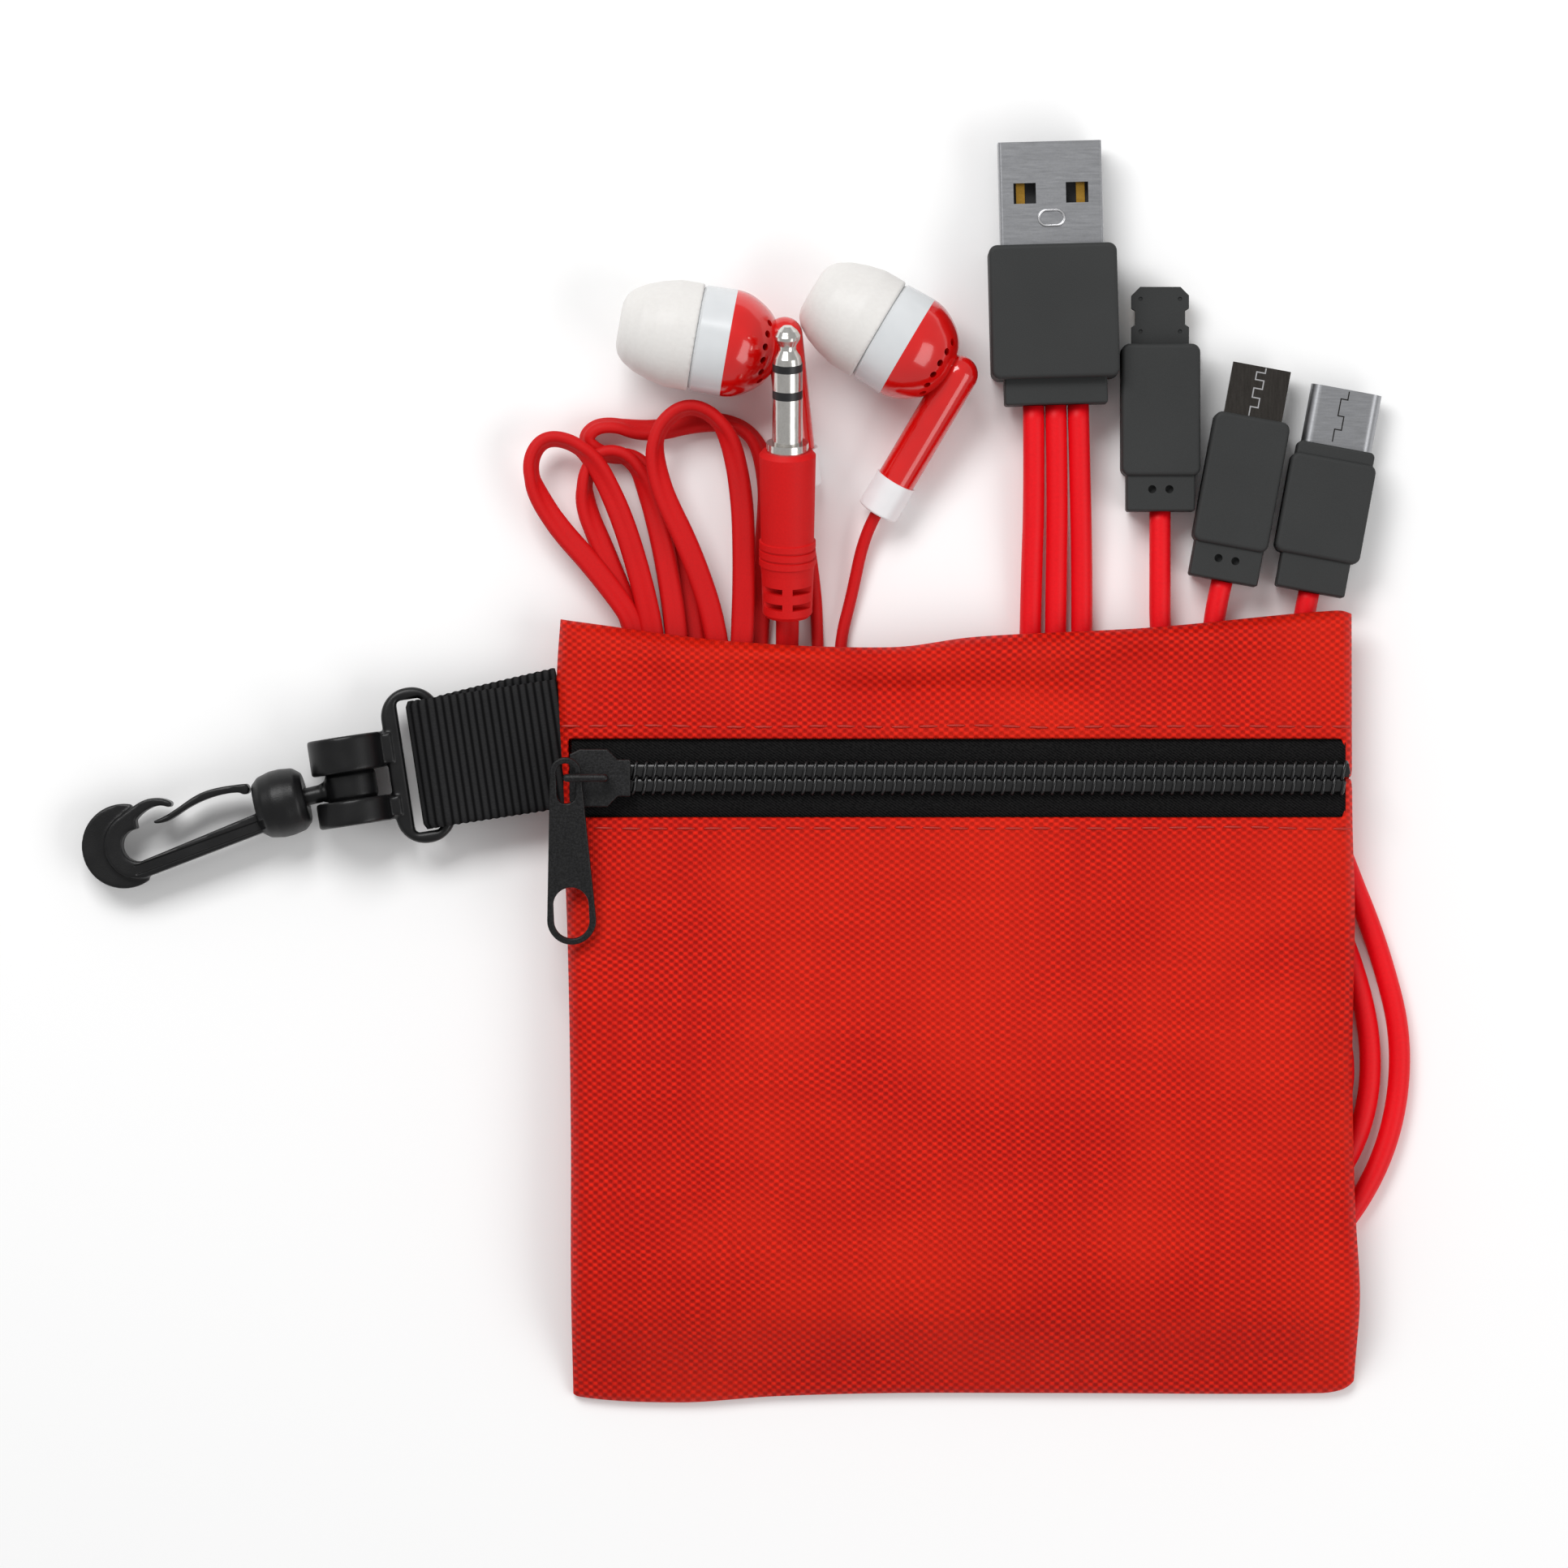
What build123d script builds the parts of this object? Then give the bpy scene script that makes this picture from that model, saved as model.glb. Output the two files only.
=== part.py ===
from build123d import *
import math
import os

# A zip pouch lying on a set of earphones and a three-way charging lead, with a strap and snap hook.
# Layout frame: origin under the middle of the pouch, on the table. +X runs along the zip to the right,
# +Y towards the plugs, +Z up. Everything is moved at the end, so that the origin is under the middle of
# the kit without its loose leads.

# ------------------------------------------------------------------ driving dimensions, mm and degrees
# pouch
pouch_width = 92.6
pouch_height = 90.3
pouch_depth = 3.5  # back face to front face
pouch_lift = 4.0  # the back rests on the leads folded under it
fabric_t = 0.5
seam_t = 1.0  # all layers at the bottom seam
hem = 1.2  # seam allowance at the bottom
edge_taper = 0.7  # the sides lean in by this much
back_droop = 7.0  # length of the back's slope down to the table
front_droop = 8.1

# zip
zip_drop = 17.85  # zip's middle below the pouch's top edge
zip_opening = 9.0
tape_t = 0.5
tape_flap = 3.0  # tape hidden under each panel
tape_gap = 0.7  # the slider's fin runs here
coil_width = 1.85
coil_height = 1.2
slider_length = 7.1
slider_width = 6.7
slider_plate = 0.7
slider_gap = 0.3  # over the coil and under the tape
slider_fin = 0.3
bail_d = 0.9
bail_rise = 2.5  # bar's centre above the slider's top plate
bail_inset = 3.4  # from the slider's nose to the bail's foot
tab_length = 21.9
tab_head_d = 3.6
tab_foot_d = 5.7
tab_t = 0.9
tab_overhang = 2.3  # head beyond the bail's bar
tab_drop = 7.0  # degrees, the tab leans down on to the pouch
tab_lean = 2.3  # degrees in plan

# strap and clip
strap_width = 15.0
webbing_t = 1.1
clip_reach = 16.6  # clip's middle beyond the pouch's left edge
clip_above_zip = 1.5
clip_tilt = 8.7
frame_width = 7.0
frame_end = 1.4  # frame's wall past each end of the slot
frame_bar = 2.0
strap_play = 0.25  # each side of the strap in its slot
bar_play = 0.25
ring_d = 8.8
ring_bore = 5.8
ring_upper = 4.2
ring_lower = 3.0
ring_window = 3.2
ring_offset = 8.1  # ring axis from the frame's middle
window_y = -1.2  # window's middle from the frame's middle
post_play = 0.07
shank_d = 2.1
shank_angle = 14.0  # degrees below the row's -X
collar_d = 7.9
collar_length = 6.0
collar_reach = 8.4  # ring axis to the collar's middle
head_d = 3.9
head_t = 1.6
hook_t = 3.2
web_t = 1.2  # thin crescent round the bend
gate_t = 2.6

# earphones
bud_d = 12.6
bud_dome = 5.9
bud_wall = 0.9
ring_length = 3.9
nozzle_d = 4.8
nozzle_bore = 3.4
nozzle_reach = 8.6
tip_reach = 12.8
tip_play = 0.05
stem_left_d = 4.2
stem_right_d = 4.5
stem_offset = 6.8  # stem axis behind the ring's seam
vent_d = 0.84
vent_deep = 4.4  # through the shell's wall, but not into the stem
collar_wall_d = 4.9
stem_collar_length = 4.4
bud_lead_d = 1.4
bud_left_x = -26.7  # middle of the joint between ring and shell
bud_left_above = 32.75  # the same, above the pouch's top edge
bud_left_angle = 170.0  # direction of the tip
bud_right_x = -5.95
bud_right_above = 32.35
bud_right_angle = 149.3
flat_lead_t = 1.4

# jack
jack_r = 1.75
jack_body_d = 6.6
jack_tail_d = 5.8
jack_body_length = 20.0
jack_rise = 18.6  # degrees, it lies over the left stem
jack_x = -19.9
jack_above = 1.15  # rear end above the pouch's top edge
jack_z = 3.4

# charging lead
lead_d = 2.5
lead_gap = 0.1  # between the leads in the wide plug's tail
shell_t = 0.3
wide_shell = (12.0, 4.5, 12.0)  # width, thickness, length
wide_body = (14.9, 8.0, 15.6)
wide_tail = (12.0, 5.0, 3.0)
small_body_t = 5.5
small_tail_t = 4.4
blade_size = (6.7, 1.5, 6.7)
micro_shell = (6.85, 1.8, 6.0)
c_shell = (8.34, 2.5, 6.8)

# ------------------------------------------------------------------ values that follow
half_w = pouch_width / 2
half_h = pouch_height / 2
zip_y = half_h - zip_drop
clip_x = -half_w - clip_reach
clip_y = zip_y + clip_above_zip
bud_left_seam = (bud_left_x, half_h + bud_left_above)
bud_right_seam = (bud_right_x, half_h + bud_right_above)
jack_y = half_h + jack_above
back = pouch_lift
front = pouch_lift + pouch_depth
tape_top = front - fabric_t
coil_top = tape_top + coil_height
plate_low = coil_top + slider_gap
plate_top = plate_low + slider_plate
under_top = tape_top - tape_t - slider_gap
bail_z = plate_top + bail_rise
slider_x = -half_w + fabric_t + 0.6
opening_half = half_w - fabric_t - edge_taper
clip_z = ring_d / 2
bud_z = bud_d / 2

solids = {}
from_base = (Align.CENTER, Align.CENTER, Align.MIN)


def keep(name, shape):
    solids[name] = shape


def block(x, y, z):
    """A box between two corners, given as (low, high) along each axis."""
    corner = Location((x[0], y[0], z[0]))
    return corner * Box(x[1] - x[0], y[1] - y[0], z[1] - z[0], align=(Align.MIN, Align.MIN, Align.MIN))


def rod(r, low, high):
    """A round bar along +Y."""
    return Location((0, low, 0), (-90, 0, 0)) * Cylinder(r, high - low, align=from_base)


def tube(outer, inner, low, high):
    return rod(outer, low, high) - rod(inner, low - 0.01, high + 0.01)


def along_x(points, low, high):
    """A section in Y and Z, drawn out along X."""
    face = make_face(Polyline(*points, close=True))
    return Location((low, 0, 0)) * extrude(Plane.YZ * face, high - low)


def flat(points, low, high):
    """An outline in X and Y, drawn out along Z."""
    return Location((0, 0, low)) * extrude(make_face(Polyline(*points, close=True)), high - low)


def turned(points):
    """A profile of (distance along, radius), spun about the local Y axis."""
    face = make_face(Polyline(*[(r, y) for y, r in points], close=True))
    return revolve(face, Axis.Y, 360)


def softened(shape, radius, edges=None):
    """Rounded edges."""
    return fillet(shape.edges() if edges is None else edges, radius)


# ------------------------------------------------------------------ pouch
def pouch_core(t):
    """What the front panels enclose, t inside their outer face."""
    slope_z = t * math.hypot(front_droop, front - seam_t) / front_droop
    end_y = -half_h + (hem if t else 0)
    fall = (front - seam_t) / front_droop
    back_fall = back / back_droop
    back_z = back + fabric_t
    outline = [
        (half_h - t, back_z),
        (half_h - t, front - t),
        (-half_h + front_droop, front - t),
        (end_y, front - slope_z - fall * (-half_h + front_droop - end_y)),
        (end_y, back_z - back_fall * (-half_h + back_droop - end_y)),
        (-half_h + back_droop, back_z),
    ]
    sides = [
        (-half_w + t, 0),
        (-half_w + t, back + seam_t),
        (-half_w + t + edge_taper, front),
        (half_w - t - edge_taper, front),
        (half_w - t, back + seam_t),
        (half_w - t, 0),
    ]
    face = Plane.XZ * make_face(Polyline(*sides, close=True))
    across = Location((0, half_h, 0)) * extrude(face, pouch_height)
    return along_x(outline, -half_w, half_w) & across


def make_pouch():
    slope = -half_h + back_droop
    sheet = [
        (half_h, back),
        (half_h, back + fabric_t),
        (slope, back + fabric_t),
        (-half_h, fabric_t),
        (-half_h, 0),
        (slope, back),
    ]
    keep("pouch_back_panel", along_x(sheet, -half_w, half_w))
    skin = pouch_core(0) - pouch_core(fabric_t)
    low = zip_y - zip_opening / 2
    high = zip_y + zip_opening / 2
    opening = block((-opening_half, opening_half), (low, high), (tape_top - tape_t, front + 1))
    skin = skin - opening
    keep("pouch_front_lower_panel", skin & block((-half_w, half_w), (-half_h, zip_y), (0, front)))
    keep("pouch_front_upper_panel", skin & block((-half_w, half_w), (zip_y, half_h), (0, front)))


def make_zip():
    near = tape_gap / 2
    far = zip_opening / 2 + tape_flap
    high = coil_width
    hump = [
        (near, 0),
        (near, 0.6 * coil_height),
        (near + 0.25 * high, coil_height),
        (near + 0.75 * high, coil_height),
        (near + high, 0.6 * coil_height),
        (near + high, 0),
    ]
    for name, side in (("upper", 1), ("lower", -1)):
        edges = sorted((zip_y + side * near, zip_y + side * far))
        tape = block((-opening_half, opening_half), edges, (tape_top - tape_t, tape_top))
        keep(f"zipper_tape_{name}", tape)
        section = [(zip_y + side * y, tape_top + z) for y, z in hump]
        keep(f"zipper_coil_{name}", along_x(section, -opening_half, opening_half))


def make_slider():
    nose = slider_x + slider_length
    half = slider_width / 2
    shoulder = nose - 2.7
    outline = [
        (slider_x, -half + 0.6),
        (slider_x + 1.2, -half),
        (shoulder, -half),
        (shoulder + 1.2, -half + 1.2),
        (nose, -half + 1.2),
        (nose, half - 1.2),
        (shoulder + 1.2, half - 1.2),
        (shoulder, half),
        (slider_x + 1.2, half),
        (slider_x, half - 0.6),
    ]
    top = softened(flat(outline, plate_low, plate_top), 0.2)
    bottom = flat(outline, under_top - slider_plate, under_top)
    fin_half = slider_fin / 2
    fin = block((slider_x + 1.5, shoulder), (-fin_half, fin_half), (under_top, plate_low + 0.1))
    flanges = []
    for side in (-1, 1):
        edge = sorted((side * half, side * (half - 0.6)))
        span = (slider_x + 1.4, shoulder - 0.1)
        flanges.append(block(span, edge, (tape_top + slider_gap, plate_low + 0.3)))
    body = top + bottom + fin + flanges[0] + flanges[1]
    keep("zipper_slider_body", Location((0, zip_y, 0)) * body)

    foot = nose - bail_inset + 0.4
    reach = foot + 0.15 - (slider_x - 0.1)
    r = bail_d / 2
    bar = Location((foot, 0, bail_z), (0, -90, 0)) * Cylinder(r, reach, align=from_base)
    post = Location((foot, 0, plate_top)) * Cylinder(r, bail_rise, align=from_base)
    knee = Location((foot, 0, bail_z)) * Sphere(r)
    end = Location((foot - reach, 0, bail_z)) * Sphere(r)
    keep("zipper_slider_bail", Location((0, zip_y, 0)) * (bar + post + knee + end))


def make_tab():
    head_r = tab_head_d / 2
    foot_r = tab_foot_d / 2
    head_y = tab_overhang - head_r
    foot_y = tab_overhang - tab_length + foot_r
    rim = 0.7
    taper = Polyline((-head_r, head_y), (head_r, head_y), (foot_r, foot_y), (-foot_r, foot_y), close=True)
    outline = make_face(taper) + Pos(0, head_y) * Circle(head_r) + Pos(0, foot_y) * Circle(foot_r)
    eye = Pos(0, (head_y + head_r - rim - 3.1) / 2) * Rot(0, 0, 90) * SlotOverall(4.7, tab_head_d - 2 * rim)
    window = SlotOverall(6.0, tab_foot_d - 2 * rim - 0.2)
    window = Pos(0, foot_y - foot_r + rim + 3.0) * Rot(0, 0, 90) * window
    plate = extrude(outline - eye - window, tab_t)
    plate = Location((0, 0, -bail_d / 2 - 0.05 - tab_t)) * softened(plate, 0.18)
    here = Location((slider_x - 0.4, zip_y, bail_z)) * Location((0, 0, 0), (0, 0, tab_lean))
    keep("zipper_pull_tab", here * Location((0, 0, 0), (tab_drop, 0, 0)) * plate)


# ------------------------------------------------------------------ strap, clip and hook
clip_place = Location((clip_x, clip_y, clip_z), (0, 0, clip_tilt))
bar_x = frame_width / 2 - frame_bar / 2  # the bar that the strap goes round, from the frame's middle
inner_r = frame_bar / 2 + bar_play


def make_strap():
    """Two layers round the clip's bar, stitched into the pouch's left side."""
    outer_r = inner_r + webbing_t
    reach = (-half_w - clip_x) / math.cos(math.radians(clip_tilt)) - bar_x + 4
    rise = (back + seam_t + 1.0 - clip_z) / reach  # both layers climb to the pouch's side seam
    climb = rise * reach
    squeeze = 0.8  # the layers close up by this much at the pouch
    sides = Sketch()
    for side in (1, -1):
        near = (side * inner_r, side * outer_r)
        far = (side * (inner_r - squeeze) + climb, side * (outer_r - squeeze) + climb)
        layer = Polyline((0, near[0]), (0, near[1]), (reach, far[1]), (reach, far[0]), close=True)
        sides += make_face(layer)
    fold = (Circle(outer_r) - Circle(inner_r)) & (Pos(-outer_r, 0) * Rectangle(2 * outer_r, 4 * outer_r))
    section = Plane.XZ * (sides + fold)
    loop = Location((bar_x, strap_width / 2, 0)) * extrude(section, strap_width)
    strap = clip_place * loop
    keep("webbing_strap", strap & block((-120, -half_w), (0, 60), (0, 20)))


def make_clip_base():
    slot = strap_width + 2 * strap_play
    outer = RectangleRounded(frame_width, slot + 2 * frame_end, frame_width / 2 - 0.1)
    inner = RectangleRounded(frame_width - 2 * frame_bar, slot, 0.5)
    frame = Location((0, 0, -frame_bar / 2)) * extrude(outer - inner, frame_bar)
    frame = softened(frame, 0.55)
    base = frame
    middle = window_y
    top = middle + ring_window / 2
    foot = middle - ring_window / 2
    for low, high in ((top, top + ring_upper), (foot - ring_lower, foot)):
        ring = Location((-ring_offset, 0, 0)) * softened(tube(ring_d / 2, ring_bore / 2, low, high), 0.3)
        web = block((-frame_width / 2 - 1.6, -frame_width / 2 + 0.8), (low + 0.4, high - 0.4), (-1.3, 1.3))
        web = web - Location((-ring_offset, 0, 0)) * rod(ring_d / 2 - 0.2, low - 1, high + 1)
        base = base + ring + web
    keep("clip_base_frame", clip_place * base)


ring_place = clip_place * Location((-ring_offset, window_y, 0))
ring_point = ring_place.position
collar_rise = 0.1  # the drooped collar stays this far above the table
droop = math.degrees(math.asin((clip_z - collar_d / 2 - collar_rise) / collar_reach))
post_place = ring_place * Location((0, 0, 0), (0, -droop, 0))


# local +X along the shank towards the hook's bend, +Z up
shank_place = post_place * Location((0, 0, 0), (0, 0, 180 + shank_angle - clip_tilt))
hook_place = shank_place * Location((collar_reach, 0, 0))


def make_swivel():
    play = 0.15
    barrel = softened(rod(ring_bore / 2 + 0.15, -ring_window / 2 + play, ring_window / 2 - play), 0.3)
    journal = rod(ring_bore / 2 - post_play, -ring_window / 2 - 2.0, ring_window / 2 + 2.2)
    spindle = post_place * (barrel + journal)
    start = collar_reach - collar_length / 2
    neck = Location((0, 0, 0), (0, 0, -90)) * rod(shank_d / 2, 1.5, start + 2.2)
    step = Location((0, 0, 0), (0, 0, -90)) * softened(rod(shank_d / 2 + 0.15, 2.0, 3.4), 0.1)
    head = Location((0, 0, 0), (0, 0, -90)) * rod(head_d / 2, start + 2.1, start + 2.1 + head_t)
    keep("swivel_post", spindle + shank_place * (neck + step + head))


def hook_outline():
    """The rim of the hook and its nose, in the shank's own plane, X to the bend and -Y to the gate."""
    bend = (17.4, 0.7)
    spine = make_face(Polyline((2.4, 0.35), (17.1, 2.55), (16.75, 4.5), (2.4, 2.75), close=True))
    round_bend = Pos(*bend) * (Circle(3.9) - Circle(1.9))
    left = Pos(bend[0] + 4.4, bend[1] - 0.2) * Rectangle(9.6, 8.6)
    outside = Spline((19.3, -2.7), (16.9, -3.8), (15.1, -4.25), (13.7, -4.05), (12.55, -3.4))
    tip = ThreePointArc((12.55, -3.4), (12.4, -2.95), (12.9, -2.75))
    inside = Spline((12.9, -2.75), (14.0, -3.2), (15.4, -3.05), (17.0, -2.2), (18.6, -0.8))
    close = Line((18.6, -0.8), (19.3, -2.7))
    nose = make_face(Wire([outside.edge(), tip.edge(), inside.edge(), close.edge()]))
    return spine + (round_bend & left) + nose


def make_hook():
    half = collar_length / 2
    barrel = [
        (-half, 0),
        (-half, 2.9),
        (-half + 0.9, 3.7),
        (-0.6, collar_d / 2),
        (0.6, collar_d / 2),
        (half - 0.9, 3.6),
        (half, 2.8),
        (half, 0),
    ]
    collar = Location((0, 0, 0), (0, 0, -90)) * turned(barrel)
    bore = Location((0, 0, 0), (0, 0, -90)) * rod(shank_d / 2 + post_play, -half - 1, -half + 2.1)
    room = Location((0, 0, 0), (0, 0, -90)) * rod(head_d / 2 + 0.1, -half + 2.0, -half + 2.2 + head_t)
    rim = Location((0, 0, -hook_t / 2)) * extrude(hook_outline(), hook_t)
    crescent = Pos(19.1, 0.4) * Circle(4.95) - Pos(17.4, 0.7) * Circle(1.95)
    crescent = crescent & (Pos(21.6, 0) * Rectangle(9.0, 12))
    web = Location((0, 0, -web_t / 2)) * extrude(crescent, web_t)
    hook = softened(collar, 0.3, collar.edges().filter_by(GeomType.CIRCLE)) - bore - room + rim + web
    keep("hook_body", hook_place * hook)

    root_x = half + 0.3
    upper = Spline((root_x, -3.2), (5.8, -3.5), (9.0, -3.4), (12.0, -2.35), (14.9, -1.6))
    lower = Spline((15.0, -1.3), (13.4, -1.2), (10.9, -2.0), (8.0, -2.6), (root_x, -2.0))
    root = Line((root_x, -2.0), (root_x, -3.2))
    point = Line((14.9, -1.6), (15.0, -1.3))
    leaf = make_face(Wire([upper.edge(), point.edge(), lower.edge(), root.edge()]))
    leaf += Pos(root_x + 0.45, -2.6) * Circle(0.6)
    gate = Location((0, 0, -gate_t / 2)) * extrude(leaf, gate_t)
    keep("hook_gate", hook_place * gate)


# ------------------------------------------------------------------ earphones
def make_bud(side, seam, axis_angle, stem_lean, stem_d, top, length):
    """seam is the middle of the joint between the pale ring and the shell; local +X points to the tip."""
    place = Location((seam[0], seam[1], bud_z), (0, 0, axis_angle))
    spin = Location((0, 0, 0), (0, 0, -90))  # turned() profiles run along +Y, the bud along +X
    r = bud_d / 2
    cavity = r - bud_wall

    dome = Spline((0, r), (-0.45 * bud_dome, 0.88 * r), (-bud_dome, 0), tangents=((-1, 0), (0, -1)))
    hollow = Spline(
        (0, cavity),
        (-0.45 * (bud_dome - bud_wall), 0.88 * cavity),
        (bud_wall - bud_dome, 0),
        tangents=((-1, 0), (0, -1)),
    )
    axis = Line((-bud_dome, 0), (0, 0)).edge()
    outline = Wire([dome.edge(), axis, Line((0, 0), (0, r)).edge()])
    outer = revolve(make_face(outline), Axis.X)
    axis = Line((bud_wall - bud_dome, 0), (0, 0)).edge()
    inline = Wire([hollow.edge(), axis, Line((0, 0), (0, cavity)).edge()])
    inner = revolve(make_face(inline), Axis.X)

    fall = math.degrees(math.asin((bud_z - collar_wall_d / 2 - 0.1) / (length + stem_collar_length)))
    stem_place = Location((-stem_offset, 0, 0), (0, 0, stem_lean)) * Location((0, 0, 0), (-fall, 0, 0))
    stem_r = stem_d / 2
    stem = rod(stem_r, top + stem_r, length)
    cap = Location((0, top + stem_r, 0)) * Sphere(stem_r)
    way = rod(bud_lead_d / 2 + 0.2, 0, length + 1)
    way_in = Location((-stem_offset, 0, 0), (0, 90, 0)) * Cylinder(bud_lead_d / 2, 4.0, align=from_base)
    for step in range(6):
        turn = -62 + 21 * step
        aim = Location((-3.6, 0, 3.2), (0, -32, 0))
        outer = outer - Location((0, 0, 0), (turn, 0, 0)) * aim * Cylinder(vent_d / 2, vent_deep)
    shell = outer + stem_place * (stem + cap) - inner - stem_place * way - way_in
    keep(f"rear_shell_{side}", place * shell)

    sleeve = tube(collar_wall_d / 2, bud_lead_d / 2 + 0.2, length, length + stem_collar_length)
    sleeve = softened(sleeve, 0.3, sleeve.edges().sort_by(Axis.Y)[-2:])
    keep(f"stem_collar_{side}", place * stem_place * sleeve)

    neck = nozzle_d / 2
    ring = [
        (0, cavity),
        (0, r),
        (ring_length - 0.4, r - 0.1),
        (ring_length, r - 0.5),
        (ring_length, neck),
        (nozzle_reach, neck),
        (nozzle_reach, nozzle_bore / 2),
        (ring_length - 0.9, nozzle_bore / 2),
        (ring_length - 0.9, cavity),
    ]
    keep(f"nozzle_housing_{side}", place * spin * turned(ring))
    mesh_disc = rod(nozzle_bore / 2, nozzle_reach - 0.6, nozzle_reach - 0.3)
    keep(f"nozzle_mesh_{side}", place * spin * mesh_disc)
    cup = rod(0.8 * cavity, -2.4, 0) + rod(cavity, 0, 0.5)
    keep(f"driver_magnet_{side}", place * spin * cup)
    film = [(0.5, 0), (0.5, cavity), (0.8, cavity), (0.9, 3.2), (1.6, 1.8), (1.8, 0)]
    keep(f"driver_diaphragm_{side}", place * spin * turned(film))

    bore = neck + tip_play
    mouth = nozzle_bore / 2 + 0.05
    skirt = ring_length + 0.08
    body = [
        (skirt, r - 0.65),
        (skirt, r - 0.1),
        (6.6, r - 0.12),
        (8.6, r - 0.6),
        (10.4, r - 1.25),
        (11.8, r - 2.1),
        (12.5, r - 2.9),
        (tip_reach, 0.4 * r),
        (tip_reach, mouth + 0.3),
        (tip_reach - 0.3, mouth),
        (nozzle_reach + 0.3, mouth),
        (nozzle_reach + 0.3, bore),
        (skirt, bore),
        (skirt, bore + 0.75),
        (10.6, bore + 0.75),
        (10.6, 0.635 * r),
        (8.4, r - 1.35),
        (6.6, r - 0.7),
    ]
    keep(f"ear_tip_{side}", place * spin * turned(body))
    end = place * stem_place * Location((0, length + stem_collar_length, 0))
    beyond = end * Location((0, 1, 0))
    return end.position, beyond.position - end.position


# ------------------------------------------------------------------ jack
jack_place = Location((jack_x, jack_y, jack_z)) * Location((0, 0, 0), (jack_rise, 0, 0))
jack_span = (jack_body_length + 1.0, jack_body_length + 10.55)  # constant radius, flange to tip


def make_jack():
    place = jack_place
    y0 = jack_body_length
    flange = y0 + 1.0
    sleeve = flange + 5.4
    band_low = sleeve + 1.0
    band_high = band_low + 2.25
    tip = jack_span[1]
    wall = 0.4
    body = tube(jack_r, jack_r - wall, y0, sleeve) + tube(2.45, jack_r - wall, y0, flange)
    keep("jack_sleeve_contact", place * body)
    ring = tube(jack_r, 0.8, band_low, band_high) + tube(1.2, 0.8, y0, band_high)
    keep("jack_ring_contact", place * ring)
    low = tube(jack_r - wall, 1.2, y0, sleeve) + tube(jack_r, 1.2, sleeve, band_low)
    high = tube(0.8, 0.5, y0, band_high) + tube(jack_r, 0.5, band_high, tip)
    keep("jack_insulator_rings", place * Compound([low, high]))
    bulb = [
        (tip, 0),
        (tip, 1.7),
        (tip + 0.7, 1.55),
        (tip + 1.6, 1.0),
        (tip + 2.1, 1.0),
        (tip + 2.9, 1.45),
        (tip + 3.3, 1.5),
        (tip + 3.9, 1.15),
        (tip + 4.4, 0.55),
        (tip + 4.5, 0),
    ]
    keep("jack_tip_contact", place * (turned(bulb) + rod(0.5, y0, tip + 0.1)))
    r = jack_body_d / 2
    tail = jack_tail_d / 2
    body = [(0, 0), (0, tail - 0.3), (0.4, tail), (5.2, tail + 0.15), (6.2, r - 0.15)]
    for step in range(3):
        at = 6.3 + 1.05 * step
        body += [(at, r), (at + 0.7, r), (at + 0.8, r - 0.2), (at + 1.0, r - 0.2)]
    body += [(y0 - 0.5, r), (y0, r - 0.4), (y0, 0)]
    grip = turned(body)
    for row in (1.3, 3.2):
        for side in (-1, 1):
            grip = grip - block(sorted((side * 0.6, side * 4)), (row, row + 0.8), (1.2, 4))
            grip = grip - block(sorted((side * 0.6, side * 4)), (row, row + 0.8), (-4, -1.2))
    keep("jack_overmold", place * grip)


# ------------------------------------------------------------------ leads
def lead(name, points, d):
    """A round lead along hand-set points, with each corner as open as its two runs allow."""
    steps = [Vector(*p) for p in points]
    radii = []
    for before, here, after in zip(steps, steps[1:], steps[2:]):
        turn = math.radians((here - before).get_angle(after - here))
        run = min((here - before).length, (after - here).length)
        radii.append(0.45 * run / math.tan(turn / 2))
    path = FilletPolyline(*steps, radius=radii)
    start = Plane(origin=steps[0], z_dir=steps[1] - steps[0])
    solid = sweep(start * Circle(d / 2), path=path)
    length = path.length
    print(name, "length", round(length, 1), "tightest", round(min(radii), 1),
          "volume ratio", round(solid.volume / (math.pi * d * d / 4 * length), 4))
    keep(name, solid)


def stowed_leads():
    """The folded earphone lead: loops above the pouch, runs under it, and the branches beside them."""
    top = back - 0.35
    loops = [
        (-44, -37.9), (-44, 40), (-39.0, 44.5), (-46.5, 51), (-50.9, 59), (-51.3, 64.5), (-48.5, 68.3),
        (-44, 69.0), (-40, 66.5), (-37.5, 67.5), (-35.5, 69.8), (-31.5, 71.0), (-28, 70.5), (-25.2, 66),
        (-23.6, 60), (-23.3, 52), (-23.3, 44.2), (-21.3, 40.5), (-21.3, -35.0), (-0.6, -35.0),
        (-0.6, -34.6), (4.4, -34.6), (4.4, -37.9),
    ]
    link = block((jack_x - 2.4, jack_x + 1.35), (jack_y - 5.9, jack_y + 0.5), (0, 2 * flat_lead_t))
    keep("earphone_main_hank", flat(loops, 0, top) + link)
    splitter_x = (-0.6, 4.4)
    splitter_y = (-34.6, -24.6)
    branches = block((-19.0, 6.0), (-34.6, 40.0), (0, top))
    pocket = block(splitter_x, splitter_y, (-1, top + 1))
    keep("earphone_branch_hank", branches - pocket)
    box = block(splitter_x, splitter_y, (0, top - 0.2))
    keep("y_splitter", softened(box, 0.6, box.edges().filter_by(Axis.Z)))


plug_places = {  # each tail's end, and the way that the metal end points
    "wide": Location((11.4, half_h + 25.65, wide_body[1] / 2), (0, 0, 1.5)),
    "blade": Location((23.6, half_h + 13.25, small_body_t / 2)),
    "micro": Location((30.85, half_h + 5.15, small_body_t / 2), (0, 0, -10.5)),
    "c": Location((41.0, half_h + 3.85, small_body_t / 2), (0, 0, -10.5)),
}


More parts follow.
